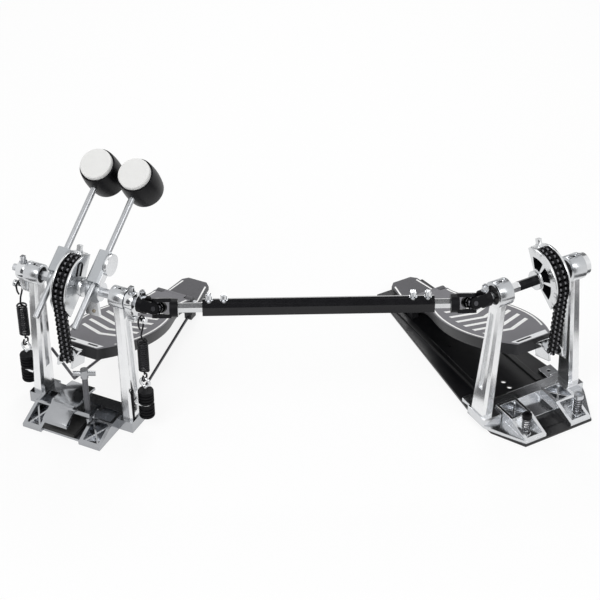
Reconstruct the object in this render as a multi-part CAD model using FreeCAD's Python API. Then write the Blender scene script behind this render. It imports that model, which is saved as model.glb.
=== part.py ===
import FreeCAD, Part
import math
import os

# Double bass drum pedal: a main pedal with two beaters and a slave pedal on a base plate,
# joined by a telescoping hexagonal shaft with a universal joint at each end.
# Millimetres. +X runs along the shaft from main to slave, +Y away from the drum, +Z up.
# The origin is on the floor under the middle of the main axle.
# Each pedal is drawn in its own frame, x along its axle, y to the heel, and then turned into place.

V = FreeCAD.Vector

# Layout of the two pedals on the floor
axle_height = 172.0
main_yaw = -25.6
slave_yaw = 30.0
shaft_yaw = 1.658
main_head_x = 54.0
slave_head_x = 49.0

# Clearances
slack = 0.35
fit = 0.2
overrun = 2.0

# Axles and bearings
axle_flats = 10.0
axle_radius = axle_flats / 2
head_width = 18.0
main_head_radius = 12.0
slave_head_radius = 15.0
main_bearing_radius = 9.0
slave_bearing_radius = 11.0
bearing_width = 13.0
oil_hole_radius = 1.6
axle_end_reach = 28.0
axle_end_radius = 4.0
inner_pin_radius = 3.0
inner_pin_length = 20.0
first_axle_end = 14.0
dome_length = 7.0

# Posts
post_top_width = 12.0
post_top_depth = 18.0
post_foot_width = 15.0
post_foot_depth = 27.0
post_corner = 3.0
post_foot_height = 14.0
main_splay = 5.0
slave_splay = 12.0
post_slot_depth = 2.6
post_slot_width = 7.0
post_slot_low = 46.0
post_slot_high = 146.0

# Return springs, their lugs and tension nuts
spring_x = 78.0
spring_wire = 2.2
spring_coil_radius = 5.2
spring_pitch = 2.85
spring_drop = 30.7
hook_radius = 4.4
hook_top_radius = 5.6
hook_wire_radius = 1.0
lug_low = 34.0
lug_thickness = 3.0
lug_radius = 7.0
bolt_radius = 2.5
eye_drop = 16.0
eye_clear = 11.05
eye_radius = 5.5
eye_wire_radius = 1.6
nut_radius = 8.6
nut_height = 16.0
nut_groove = 0.9
nut_groove_width = 1.6
bolt_tail = 4.0

# Rockers that carry the springs
rocker_radius = 10.5
rocker_width = 10.0
rocker_gap = 0.6
lever_length = 22.0
lever_tip_radius = 5.0
lever_thickness = 7.0
tip_pin_radius = 2.5
tip_knob_radius = 4.0
tip_knob_length = 2.0

# Square-head key screws
screw_radius = 2.4
screw_collar_radius = 4.2
screw_collar = 2.0
screw_square = 5.0
screw_head = 6.5

# Chain: inner blocks and outer plates on a common pitch
chain_pitch = 6.35
chain_width = 14.4
plate_thickness = 1.5
plate_height = 5.8
roller_height = 4.6
pin_radius = 1.15
bore_radius = 1.5
chain_gap = 0.25
chain_radius = 34.0
chain_lift_angle = 93.0
wrap_links = 3
segment_links = 3
tail_links = 13

# Cams
cam_flange = 2.5
cam_flange_rise = 2.6
cam_start_angle = -30.0
cam_end_angle = 126.0
cam_hub_radius = 11.0
cam_window_inner = 13.5
cam_window_outer = 27.0
cam_window_angle = 38.0
cam_window_step = 48.0
cam_web = 5.0
cam_lip = 2.0
main_cam_x = -2.0
slave_cam_x = 9.0
anchor_length = 12.0

# Beaters and their holders
beater_angle = -56.0
rod_radius = 3.5
rod_offset = 10.0
rod_below = 51.0
barrel_height = 131.0
barrel_radius = 22.0
barrel_bulge = 1.6
barrel_front = 11.0
barrel_back = 27.0
barrel_round = 4.0
felt_radius = 18.4
felt_thickness = 7.0
felt_crown = 2.0
felt_inset = 4.0
holder_width = 16.0
holder_depth = 16.0
holder_corner = 2.5
holder_low = 3.0
first_holder_high = 32.0
second_holder_high = 41.0
first_holder_x = -25.0
second_holder_x = 23.5
second_disc_radius = 12.5
second_disc_thickness = 3.0
second_disc_height = 29.0
apron_height = 26.0
apron_top_width = 13.0
apron_foot_width = 17.0
apron_thickness = 4.0

# Universal joints and drive shaft
main_joint_x = 100.0
slave_joint_x = -87.0
yoke_radius = 10.0
yoke_length = 9.0
fork_start = 13.0
ear_inner = 6.6
ear_thickness = 4.0
ear_half_width = 6.0
cross_radius = 5.8
cross_pin_radius = 2.6
joint_phase = -27.5
tube_flats = 18.0
tube_start = 48.0
tube_length = 248.0
tube_tail = 39.6
shaft_rod_flats = 10.0
main_rod_depth = 60.0
slave_rod_depth = 120.0
tube_screw_inset = 7.0
tube_screw_step = 16.0

# Footboards and heel plates
hinge_height = 26.0
toe_drop = 81.0
toe_reach = 17.0
board_length = 222.0
hinge_y = board_length - toe_reach
board_half_width = 44.0
board_rise = 5.0
board_skirt = 13.0
board_wall = 3.5
board_top = 4.0
board_heel_gap = 8.0
board_rib = 3.0
board_station_shares = [0.0, 0.10, 0.30, 0.55, 0.76, 1.0]
board_width_shares = [0.58, 0.55, 0.80, 1.0, 0.92, 0.51]
board_rib_shares = [0.3, 0.55, 0.78]
knuckle_radius = 6.0
knuckle_half_width = 15.0
knuckle_outer = 25.0
hinge_pin_radius = 3.0
heel_length = 57.0
heel_front_half = 26.0
heel_back_half = 19.0
heel_low = 10.0
heel_thickness = 6.0
heel_corner = 6.0
bracket_thickness = 2.4
bracket_reach = 26.0
bracket_drop = 7.0
bracket_brow = 4.0
bracket_nose = 12.0
bracket_plate = 3.0
foot_radius = 7.0
foot_taper = 1.2
foot_inset = 8.0

# Main base casting and hoop clamp
base_overhang = 14.0
base_half_width = main_head_x + base_overhang
base_back = 15.0
base_bar_front = -4.0
base_slab = 5.0
base_socket_front = -17.0
base_socket_inner = 46.0
wing_front = -60.0
wing_tip_height = 4.0
wing_height = 17.0
wing_rise_y = -30.0
left_wing_outer = -50.5
left_wing_inner = -26.0
right_wing_inner = 23.0
right_wing_outer = 50.5
wing_wall = 4.0
wing_floor = 3.0
wing_rib = 2.0
wing_rib_drop = 3.0
pad_height = 4.0
pad_front = -56.0
pad_back = -22.0
jaw_left = -22.0
jaw_right = 9.0
jaw_front = -60.0
jaw_back = 3.0
jaw_lip_height = 16.5
jaw_crown_height = 33.0
jaw_crown_y = -26.0
jaw_back_height = 31.0
jaw_thickness = 3.5
jaw_lip = 5.0
jaw_cheek = 3.0
jaw_pivot_y = -24.0
jaw_pivot_height = 17.0
jaw_pivot_radius = 3.0
jaw_eye_radius = 6.5
jaw_ear_reach = 19.0
jaw_ear_half = 8.0
jaw_ear_height = 25.0
jaw_ear_thickness = 6.0
jaw_ear_play = 2.2
clamp_bolt_x = 21.0
clamp_bolt_y = -33.0
clamp_bolt_radius = 3.2
clamp_bolt_low = 18.5
clamp_bolt_top = 86.0
clamp_head_radius = 4.4
clamp_head_height = 11.0
handle_radius = 2.8
handle_half = 12.5
handle_turn = 25.6

# Stabiliser wires
wire_radius = 1.7
wire_floor = 2.4
wire_bend_x = 43.0
wire_bend_y = 38.0
wire_heel_x = 20.0
left_wire_top = 58.0

# Slave base plate and casting
plate_gauge = 3.0
plate_front = -65.0
plate_front_half = 46.0
plate_shoulder_y = -26.0
plate_shoulder_half = 66.0
plate_overhang = 4.0
plate_back = hinge_y + heel_length + plate_overhang
plate_back_half = 34.0
plate_rib_x = 36.0
plate_rib_width = 7.0
plate_rib_rise = 2.5
plate_rib_start = 22.0
plate_rib_share = 0.85
plate_hole_radius = 3.0
plate_hole_places = [30.0, 42.0, 84.0]
slave_overhang = 21.0
slave_half_width = slave_head_x + slave_overhang
slave_wing_inner = 17.0
slave_wing_outer = 45.0
slave_wing_front = -64.0
slave_wing_rise_y = -34.0
slave_wing_height = 15.0
tab_x = 54.0
tab_back = 36.0
tab_half_width = 9.0
tab_thickness = 5.0
tab_hole_radius = 2.2
anchor_x = 36.0
anchor_y = -50.0
anchor_screw_radius = 2.5
anchor_head_radius = 5.5
anchor_head_height = 5.0
anchor_top = 33.0
anchor_spring_wire = 1.3
anchor_spring_radius = 4.3
anchor_spring_turns = 6


def block(x0, x1, y0, y1, z0, z1):
    return Part.makeBox(x1 - x0, y1 - y0, z1 - z0, V(x0, y0, z0))


def rod(start, end, radius):
    return Part.makeCylinder(radius, (end - start).Length, start, end - start)


def bar_x(x0, x1, y, z, radius):
    return rod(V(x0, y, z), V(x1, y, z), radius)


def pillar(x, y, z0, z1, radius):
    return rod(V(x, y, z0), V(x, y, z1), radius)


def prism(points, along):
    return Part.Face(Part.makePolygon(points + [points[0]])).extrude(along)


def prism_x(outline, x0, x1):
    return prism([V(x0, y, z) for y, z in outline], V(x1 - x0, 0, 0))


def prism_y(outline, y0, y1):
    return prism([V(x, y0, z) for x, z in outline], V(0, y1 - y0, 0))


def prism_z(outline, z0, z1):
    return prism([V(x, y, z0) for x, y in outline], V(0, 0, z1 - z0))


def fuse(first, *others):
    return first.fuse(list(others)).removeSplitter()


def cut(first, *tools):
    return first.cut(list(tools))


def regular(sides, radius, turn):
    angles = [math.radians(turn + 360.0 * i / sides) for i in range(sides)]
    return [(radius * math.cos(a), radius * math.sin(a)) for a in angles]


def hex_bar(x0, x1, flats):
    corners = regular(6, flats / math.sqrt(3), 90.0)
    return prism_x([(y, axle_height + z) for y, z in corners], x0, x1)


def chamfered(width, depth, corner):
    a = width / 2
    b = depth / 2
    c = corner
    return [(-a + c, -b), (a - c, -b), (a, -b + c), (a, b - c),
            (a - c, b), (-a + c, b), (-a, b - c), (-a, -b + c)]


def swung(shape, angle):
    """Turns a shape about the axle, top towards the drum for a positive angle."""
    turned = shape.copy()
    turned.rotate(V(0, 0, axle_height), V(1, 0, 0), angle)
    return turned


def mirrored(shape):
    return shape.mirror(V(0, 0, 0), V(1, 0, 0))


def rim_point(radius, angle, x):
    """A point at a radius from the axle, the angle counted from the top towards the drum."""
    a = math.radians(angle)
    return V(x, -radius * math.sin(a), axle_height + radius * math.cos(a))


def sector(radius, x0, x1, start, end):
    middle = rim_point(radius, (start + end) / 2, x0)
    arc = Part.Arc(rim_point(radius, start, x0), middle, rim_point(radius, end, x0)).toShape()
    centre = V(x0, 0, axle_height)
    sides = [Part.makeLine(centre, rim_point(radius, start, x0)),
             Part.makeLine(rim_point(radius, end, x0), centre)]
    return Part.Face(Part.Wire([sides[0], arc, sides[1]])).extrude(V(x1 - x0, 0, 0))


def torus(centre, axis, ring_radius, wire_radius):
    return Part.makeTorus(ring_radius, wire_radius, centre, axis)


def key_screw(x, low):
    """A square-head screw that stands on a face above the axle."""
    shank = pillar(x, 0, low, low + screw_collar, screw_collar_radius)
    half = screw_square / 2
    head = block(x - half, x + half, -half, half, low + screw_collar, low + screw_collar + screw_head)
    return fuse(shank, head)


# Posts, heads and bearings


def post(side, head_x, splay, head_radius, bearing_radius):
    foot_wire = Part.makePolygon([V(x, y, 0) for x, y in closed(
        chamfered(post_foot_width, post_foot_depth, post_corner))])
    top_wire = Part.makePolygon([V(x, y, axle_height) for x, y in closed(
        chamfered(post_top_width, post_top_depth, post_corner))])
    bar = Part.makeLoft([foot_wire, top_wire], True, True)
    half = post_slot_width / 2
    taper = post_foot_width - post_top_width
    for face in (1, -1):
        outline = [(-half, post_slot_low), (half, post_slot_low), (half, post_slot_high), (-half, post_slot_high)]
        slot = prism_x(outline, post_top_width / 2 - post_slot_depth, post_foot_width)
        slot.rotate(V(0, 0, 0), V(0, 0, 1), 0 if face > 0 else 180)
        bar = cut(bar, slot)
    lean = math.degrees(math.atan(splay / (axle_height - post_foot_height)))
    bar.translate(V(side * head_x, 0, 0))
    bar.rotate(V(side * head_x, 0, axle_height), V(0, 1, 0), -side * lean)
    bar = cut(bar, block(-2 * base_half_width, 2 * base_half_width, -base_half_width, base_half_width,
                         -post_foot_depth - taper, post_foot_height))
    x0 = side * head_x - head_width / 2
    x1 = side * head_x + head_width / 2
    shape = fuse(bar, bar_x(x0, x1, 0, axle_height, head_radius))
    shape = cut(shape, bar_x(x0 - overrun, x1 + overrun, 0, axle_height, bearing_radius))
    hole = pillar(side * head_x, 0, axle_height, axle_height + head_radius + overrun, oil_hole_radius)
    return cut(shape, hole)


def closed(points):
    return points + [points[0]]


def lug(side):
    """The ledge on a main post that holds a spring's eyebolt."""
    inner = main_head_x
    plate = block(inner, spring_x, -lug_radius, lug_radius, lug_low, lug_low + lug_thickness)
    nose = pillar(spring_x, 0, lug_low, lug_low + lug_thickness, lug_radius)
    shape = fuse(plate, nose)
    shape = cut(shape, pillar(spring_x, 0, lug_low - overrun, lug_low + lug_thickness + overrun, bolt_radius))
    return shape if side > 0 else mirrored(shape)


def main_post(side):
    shape = post(side, main_head_x, main_splay, main_head_radius, main_bearing_radius)
    return fuse(shape, lug(side))


def slave_post(side):
    return post(side, slave_head_x, slave_splay, slave_head_radius, slave_bearing_radius)


def bearing(x, radius):
    ring = bar_x(x - bearing_width / 2, x + bearing_width / 2, 0, axle_height, radius)
    bore = bar_x(x - head_width, x + head_width, 0, axle_height, axle_radius + fit)
    return cut(ring, bore)


# Axles


def first_axle():
    left = -main_head_x - axle_end_reach
    body = hex_bar(-main_head_x + head_width / 2 + rocker_gap, first_axle_end, axle_flats)
    journal = bar_x(-main_head_x - head_width / 2 - rocker_width - rocker_gap,
                    -main_head_x + head_width / 2 + rocker_gap, 0, axle_height, axle_radius)
    nub = bar_x(left, -main_head_x, 0, axle_height, axle_end_radius)
    pin = bar_x(first_axle_end - overrun, first_axle_end + inner_pin_length, 0, axle_height, inner_pin_radius)
    return fuse(body, journal, nub, pin)


def second_axle():
    start = first_axle_end + slack
    shape = bar_x(start, main_joint_x - fork_start - overrun, 0, axle_height, axle_radius)
    bore = bar_x(start - overrun, first_axle_end + inner_pin_length + slack, 0, axle_height,
                 inner_pin_radius + fit)
    return cut(shape, bore)


def slave_axle():
    body = hex_bar(-slave_head_x + head_width / 2, slave_head_x - head_width / 2, axle_flats)
    journal = bar_x(slave_joint_x + fork_start + overrun, slave_head_x + head_width / 2,
                    0, axle_height, axle_radius)
    cap = bar_x(slave_head_x + head_width / 2 + rocker_gap, slave_head_x + head_width / 2 + dome_length,
                0, axle_height, slave_head_radius - overrun)
    neck = bar_x(slave_head_x, slave_head_x + head_width / 2 + dome_length, 0, axle_height, axle_radius)
    return fuse(body, journal, neck, cap)


# Rockers


def rocker(side):
    x0 = main_head_x + head_width / 2 + rocker_gap
    x1 = x0 + rocker_width
    tip = axle_height - lever_length
    collar = bar_x(x0, x1, 0, axle_height, rocker_radius)
    eye = bar_x(x0 + rocker_gap, x0 + rocker_gap + lever_thickness, 0, tip, lever_tip_radius)
    flank = prism_x([(-rocker_radius, axle_height), (rocker_radius, axle_height),
                     (lever_tip_radius, tip), (-lever_tip_radius, tip)],
                    x0 + rocker_gap, x0 + rocker_gap + lever_thickness)
    pin = bar_x(x0 + lever_thickness / 2, spring_x + hook_radius, 0, tip, tip_pin_radius)
    knob = bar_x(spring_x + hook_radius - slack, spring_x + hook_radius + tip_knob_length, 0, tip, tip_knob_radius)
    screw = key_screw((x0 + x1) / 2, axle_height + rocker_radius - screw_collar / 2)
    shape = fuse(collar, eye, flank, pin, knob, screw)
    shape = cut(shape, bar_x(x0 - overrun, x1 + overrun, 0, axle_height, axle_radius))
    return shape if side > 0 else mirrored(shape)


# Cam


def cam_inner_width():
    return chain_width + 2 * slack


def cam(centre_x):
    half = cam_inner_width() / 2
    x0 = centre_x - half - cam_flange
    x1 = centre_x + half + cam_flange
    drum_radius = chain_radius - plate_height / 2 - slack
    flange_radius = chain_radius + cam_flange_rise
    wheel = sector(flange_radius, x0, x1, cam_start_angle, cam_end_angle)
    groove = cut(bar_x(centre_x - half, centre_x + half, 0, axle_height, flange_radius + overrun),
                 bar_x(centre_x - half, centre_x + half, 0, axle_height, drum_radius))
    shape = cut(wheel, groove)
    hub = bar_x(x0 - cam_lip, x1 + cam_lip, 0, axle_height, cam_hub_radius)
    middle = (cam_start_angle + cam_end_angle) / 2
    for i in (-1, 0, 1):
        angle = middle + i * cam_window_step
        window = sector(cam_window_outer, x0 - overrun, x1 - cam_web,
                        angle - cam_window_angle / 2, angle + cam_window_angle / 2)
        window = cut(window, bar_x(x0 - 2 * overrun, x1, 0, axle_height, cam_window_inner))
        shape = cut(shape, window)
    clip = block(centre_x - half + slack, centre_x + half - slack, -anchor_length / 2, anchor_length / 2,
                 axle_height + drum_radius - overrun, axle_height + chain_radius + plate_height / 2)
    screw = key_screw(centre_x, axle_height + chain_radius + plate_height / 2)
    anchor = swung(fuse(clip, screw), clip_angle())
    shape = fuse(shape, hub, anchor)
    return cut(shape, hex_bar(x0 - 2 * overrun, x1 + 2 * overrun, axle_flats))


def clip_angle():
    """Angle of the clip that holds the chain's first pin on the cam."""
    first_pin = chain_lift_angle - (wrap_links + 2 * segment_links) * link_angle()
    return first_pin - math.degrees((anchor_length / 2 + plate_height / 2 + slack) / chain_radius)


def link_angle():
    """Angle that one chain link spans on the cam."""
    return 2 * math.degrees(math.asin(chain_pitch / 2 / chain_radius))


# Chain


def chain_pins(x):
    """Pin places along the chain, from the cam's anchor to the footboard."""
    wrapped = wrap_links + 2 * segment_links
    pins = [rim_point(chain_radius, chain_lift_angle - (wrapped - i) * link_angle(), x) for i in range(wrapped + 1)]
    a = math.radians(chain_lift_angle)
    down = V(0, -math.cos(a), -math.sin(a))
    return pins + [pins[-1] + down * (chain_pitch * (i + 1)) for i in range(tail_links)]


def link_outline(half_height, length):
    """Stretched octagon around two pins, counted from the first pin."""
    corner = half_height * math.tan(math.pi / 8)
    h = half_height
    return [(-corner, -h), (length + corner, -h), (length + h, -corner), (length + h, corner),
            (length + corner, h), (-corner, h), (-h, corner), (-h, -corner)]


def link_frame(start, end):
    along = (end - start).normalize()
    across = V(1, 0, 0).cross(along)
    return along, across


def slab(start, end, outline, x0, x1):
    along, across = link_frame(start, end)
    points = [V(start.x + x0, start.y, start.z) + along * a + across * b for a, b in outline]
    return prism(points, V(x1 - x0, 0, 0))


def chain_peg(centre, half_length, radius):
    corners = regular(8, radius, 22.5)
    points = [V(centre.x - half_length, centre.y + a, centre.z + b) for a, b in corners]
    return prism(points, V(2 * half_length, 0, 0))


def inner_link(start, end):
    half = chain_width / 2 - plate_thickness - chain_gap
    body = slab(start, end, link_outline(roller_height / 2, chain_pitch), -half, half)
    holes = [chain_peg(p, half + overrun, bore_radius) for p in (start, end)]
    return cut(body, *holes)


def outer_link(start, end):
    half = chain_width / 2
    outline = link_outline(plate_height / 2, chain_pitch)
    plates = [slab(start, end, outline, s, s + plate_thickness) for s in (-half, half - plate_thickness)]
    pegs = [chain_peg(p, half - plate_thickness / 2, pin_radius) for p in (start, end)]
    return fuse(plates[0], plates[1], *pegs)


def chain_stretch(pins, first, count):
    links = []
    for i in range(first, first + count):
        maker = outer_link if i % 2 else inner_link
        links.append(maker(pins[i], pins[i + 1]))
    return Part.makeCompound(links)


def chain_parts(x):
    """The chain in four stretches: on the cam, two that unbend, and the tail."""
    pins = chain_pins(x)
    counts = [wrap_links, segment_links, segment_links, tail_links]
    starts = [sum(counts[:i]) for i in range(len(counts))]
    return [chain_stretch(pins, s, c) for s, c in zip(starts, counts)]


# Beaters


def rod_bore(x):
    return pillar(x, -rod_offset, axle_height - rod_below - overrun, axle_height + barrel_height, rod_radius + fit)


def holder(x, high):
    outline = [(x + a, -rod_offset + b) for a, b in chamfered(holder_width, holder_depth, holder_corner)]
    grip = prism_z(outline, axle_height + holder_low, axle_height + high)
    hub = bar_x(x - holder_width / 2, x + holder_width / 2, 0, axle_height, rocker_radius)
    return fuse(grip, hub)


def first_holder():
    shape = swung(cut(holder(first_holder_x, first_holder_high), rod_bore(first_holder_x)), beater_angle)
    return cut(shape, hex_bar(first_holder_x - holder_width, first_holder_x + holder_width, axle_flats))


def second_holder():
    x = second_holder_x
    disc = bar_x(x + holder_width / 2 - overrun, x + holder_width / 2 + second_disc_thickness,
                 -rod_offset, axle_height + second_disc_height, second_disc_radius)
    shape = cut(fuse(holder(x, second_holder_high), disc), rod_bore(x))
    shape = swung(shape, beater_angle)
    top = apron_top_width / 2
    foot = apron_foot_width / 2
    apron = prism_y([(x - top, axle_height), (x + top, axle_height),
                     (x + foot, axle_height - apron_height), (x - foot, axle_height - apron_height)],
                    -rocker_radius, -rocker_radius + apron_thickness)
    shape = fuse(shape, apron)
    return cut(shape, bar_x(x - holder_width, x + 2 * holder_width, 0, axle_height, axle_radius))


def beater_rod(x):
    bar = pillar(x, -rod_offset, axle_height - rod_below, axle_height + barrel_height, rod_radius)
    return swung(bar, beater_angle)


def revolve_profile(x, edges):
    """A solid of revolution about the beater head's axis, along y."""
    axis = V(x, 0, axle_height + barrel_height)
    return Part.Face(Part.Wire(edges)).revolve(axis, V(0, 1, 0), 360)


def beater_barrel(x):
    z = axle_height + barrel_height
    seat = -rod_offset - barrel_front
    front = seat - felt_inset
    back = -rod_offset + barrel_back
    r = barrel_radius
    c = barrel_round
    a = [V(x, front, z), V(x, front, z + r - barrel_bulge), V(x, (front + back) / 2, z + r),
         V(x, back - c, z + r - barrel_bulge), V(x, back, z + r - barrel_bulge - c), V(x, back, z)]
    edges = [Part.makeLine(a[0], a[1]), Part.Arc(a[1], a[2], a[3]).toShape(), Part.makeLine(a[3], a[4]),
             Part.makeLine(a[4], a[5]), Part.makeLine(a[5], a[0])]
    pocket = Part.makeCylinder(felt_radius, felt_inset + overrun, V(x, seat, z), V(0, -1, 0))
    shape = cut(revolve_profile(x, edges), pocket, pillar(x, -rod_offset, axle_height, z, rod_radius))
    return swung(shape, beater_angle)


def beater_felt(x):
    z = axle_height + barrel_height
    back = -rod_offset - barrel_front
    rim = back - felt_thickness + felt_crown
    tip = back - felt_thickness
    a = [V(x, back, z), V(x, back, z + felt_radius), V(x, rim, z + felt_radius),
         V(x, tip, z + felt_radius - 2 * felt_crown), V(x, tip, z)]
    edges = [Part.makeLine(p, q) for p, q in zip(a, a[1:] + [a[0]])]
    return swung(revolve_profile(x, edges), beater_angle)


# Universal joints and shaft, drawn along +X with the joint's middle at the axle height


def yoke(roll, hub_end):
    """A fork whose hub lies on the -X side of the joint; its pins point along y before the roll."""
    hub = bar_x(hub_end, -fork_start, 0, axle_height, yoke_radius)
    ears = []
    for side in (-1, 1):
        y0 = side * ear_inner
        y1 = side * (ear_inner + ear_thickness)
        z0 = axle_height - ear_half_width
        z1 = axle_height + ear_half_width
        arm = block(-fork_start - overrun, 0, min(y0, y1), max(y0, y1), z0, z1)
        end = rod(V(0, y0, axle_height), V(0, y1, axle_height), ear_half_width)
        ears.append(arm)
        ears.append(end)
    shape = fuse(hub, *ears)
    reach = 2 * (ear_inner + ear_thickness)
    shape = cut(shape, rod(V(0, -reach, axle_height), V(0, reach, axle_height), cross_pin_radius + fit))
    shape.rotate(V(0, 0, axle_height), V(1, 0, 0), roll)
    return shape


def cross(roll):
    reach = ear_inner + ear_thickness
    ball = Part.makeSphere(cross_radius, V(0, 0, axle_height))
    across = rod(V(0, -reach, axle_height), V(0, reach, axle_height), cross_pin_radius)
    upright = rod(V(0, 0, axle_height - reach), V(0, 0, axle_height + reach), cross_pin_radius)
    shape = fuse(ball, across, upright)
    shape.rotate(V(0, 0, axle_height), V(1, 0, 0), roll)
    return shape


def axle_yoke():
    shape = yoke(joint_phase, -fork_start - yoke_length)
    bore = bar_x(-2 * yoke_length - fork_start, -fork_start - overrun, 0, axle_height, axle_radius)
    return cut(shape, bore)


def shaft_yoke(rod_length, roll):
    """A fork with its hexagonal rod, which runs to -X."""
    shape = yoke(roll, -fork_start - yoke_length)
    corners = [(y, axle_height + z) for y, z in regular(6, shaft_rod_flats / math.sqrt(3), 90.0)]
    return fuse(shape, prism_x(corners, -fork_start - rod_length, -fork_start))


def shaft_tube():
    outer = [(y, axle_height + z) for y, z in regular(6, tube_flats / math.sqrt(3), 90.0)]
    inner = [(y, axle_height + z) for y, z in regular(6, (shaft_rod_flats + 2 * fit) / math.sqrt(3), 90.0)]
    end = tube_start + tube_length
    shape = cut(prism_x(outer, tube_start, end), prism_x(inner, tube_start - overrun, end + overrun))
    top = axle_height + tube_flats / 2 - overrun / 2
    places = [tube_start + tube_screw_inset, tube_start + tube_screw_inset + tube_screw_step]
    places += [end - tube_screw_inset, end - tube_screw_inset - tube_screw_step]
    screws = [key_screw(x, top) for x in places]
    return fuse(shape, *screws)


# Footboards


def board_side(wall, start, end):
    """Points along a footboard's edge, in from its outline by the wall, between two stations."""
    points = []
    for s, w in zip(board_station_shares, board_width_shares):
        y = hinge_y - start - s * (end - start)
        points.append(V(w * board_half_width - wall, y, 0))
    return points


def board_face(wall, start, end, z):
    right = board_side(wall, start, end)
    left = [V(-p.x, p.y, 0) for p in reversed(right)]
    curves = []
    for side in (right, left):
        curve = Part.BSplineCurve()
        curve.interpolate(side)
        curves.append(curve.toShape())
    edges = [curves[0], Part.makeLine(right[-1], left[0]), curves[1], Part.makeLine(left[-1], right[0])]
    face = Part.Face(Part.Wire(edges))
    face.translate(V(0, 0, z))
    return face


def tilted(shape):
    """Turns a shape drawn level with the hinge up to the slope that brings the toe to the chain."""
    rise = axle_height - toe_drop - hinge_height
    turned = shape.copy()
    turned.rotate(V(0, hinge_y, hinge_height), V(1, 0, 0), -math.degrees(math.asin(rise / board_length)))
    return turned


def footboard():
    top = hinge_height + board_rise
    low = top - board_skirt
    shape = board_face(0, board_heel_gap, board_length, low).extrude(V(0, 0, board_skirt))
    inner = board_face(board_wall, board_heel_gap + board_wall, board_length - board_wall, low - overrun)
    shape = cut(shape, inner.extrude(V(0, 0, board_skirt - board_top + overrun)))
    ribs = []
    for share in board_rib_shares:
        y = hinge_y - share * board_length
        rib = block(-board_half_width, board_half_width, y, y + board_rib, low + overrun, top - board_top)
        ribs.append(rib.common(board_face(0, board_heel_gap, board_length, low).extrude(V(0, 0, board_skirt))))
    web = block(-knuckle_half_width, knuckle_half_width, hinge_y - board_heel_gap - board_wall, hinge_y,
                hinge_height, top)
    knuckle = bar_x(-knuckle_half_width, knuckle_half_width, hinge_y, hinge_height, knuckle_radius)
    shape = fuse(shape, web, knuckle, *ribs)
    hole = bar_x(-knuckle_outer, knuckle_outer, hinge_y, hinge_height, hinge_pin_radius + fit)
    return tilted(cut(shape, hole))


def chain_bracket(centre_x):
    """Two arms that reach out from the toe on both sides of the chain."""
    toe = hinge_y - board_length
    top = hinge_height + board_rise
    low = top - board_skirt - bracket_drop
    brow = top - bracket_brow
    half = cam_inner_width() / 2
    arms = []
    for side in (-1, 1):
        x0 = centre_x + side * half
        x1 = x0 + side * bracket_thickness
        outline = [(toe, low), (toe, brow), (toe - bracket_nose, brow),
                   (toe - bracket_reach, brow - bracket_drop), (toe - bracket_reach, low)]
        arms.append(prism_x(outline, min(x0, x1), max(x0, x1)))
    outer = half + bracket_thickness
    plate = block(centre_x - outer, centre_x + outer, toe - bracket_plate, toe, low, brow)
    return tilted(fuse(plate, *arms))


# Heel plates


def heel_plate(floor):
    back = hinge_y + heel_length
    c = heel_corner
    outline = [(-heel_front_half, hinge_y - knuckle_radius), (heel_front_half, hinge_y - knuckle_radius),
               (heel_front_half, hinge_y + heel_corner), (heel_back_half, back - c), (heel_back_half - c, back),
               (-heel_back_half + c, back), (-heel_back_half, back - c), (-heel_front_half, hinge_y + heel_corner)]
    shape = prism_z(outline, heel_low, heel_low + heel_thickness)
    for side in (-1, 1):
        x0 = side * (knuckle_half_width + slack)
        x1 = side * knuckle_outer
        low = min(x0, x1)
        high = max(x0, x1)
        leg = block(low, high, hinge_y - knuckle_radius, hinge_y + knuckle_radius, floor, hinge_height)
        knuckle = bar_x(low, high, hinge_y, hinge_height, knuckle_radius)
        shape = fuse(shape, leg, knuckle)
    return cut(shape, bar_x(-2 * knuckle_outer, 2 * knuckle_outer, hinge_y, hinge_height, hinge_pin_radius))


def slave_heel_plate():
    back = hinge_y + heel_length
    stand = block(-heel_back_half + heel_corner, heel_back_half - heel_corner,
                  back - 2 * heel_corner, back - heel_corner, plate_gauge, heel_low)
    return fuse(heel_plate(plate_gauge), stand)


def hinge_pin():
    return bar_x(-knuckle_outer - hinge_pin_radius, knuckle_outer + hinge_pin_radius, hinge_y, hinge_height,
                 hinge_pin_radius)


def rubber_feet():
    feet = []
    y = hinge_y + heel_length - foot_inset - foot_radius
    for x in (-heel_back_half + foot_inset, heel_back_half - foot_inset):
        feet.append(Part.makeCone(foot_radius, foot_radius - foot_taper, heel_low, V(x, y, 0), V(0, 0, 1)))
    pad = block(left_wing_inner + slack, clamp_bolt_x - 2 * clamp_bolt_radius, pad_front, pad_back, wing_floor,
                wing_floor + pad_height)
    return Part.makeCompound(feet + [pad])


# Main base and hoop clamp


def cross_ribs(x0, x1, y0, y1, low, high):
    """Two thin walls along the diagonals of a pocket."""
    ribs = []
    for a, b in ((y0, y1), (y1, y0)):
        start = V(x0, a, 0)
        end = V(x1, b, 0)
        along = (end - start).normalize()
        side = V(-along.y, along.x, 0) * (wing_rib / 2)
        corners = [start - side, end - side, end + side, start + side]
        ribs.append(prism_z([(p.x, p.y) for p in corners], low, high))
    return ribs


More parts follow.
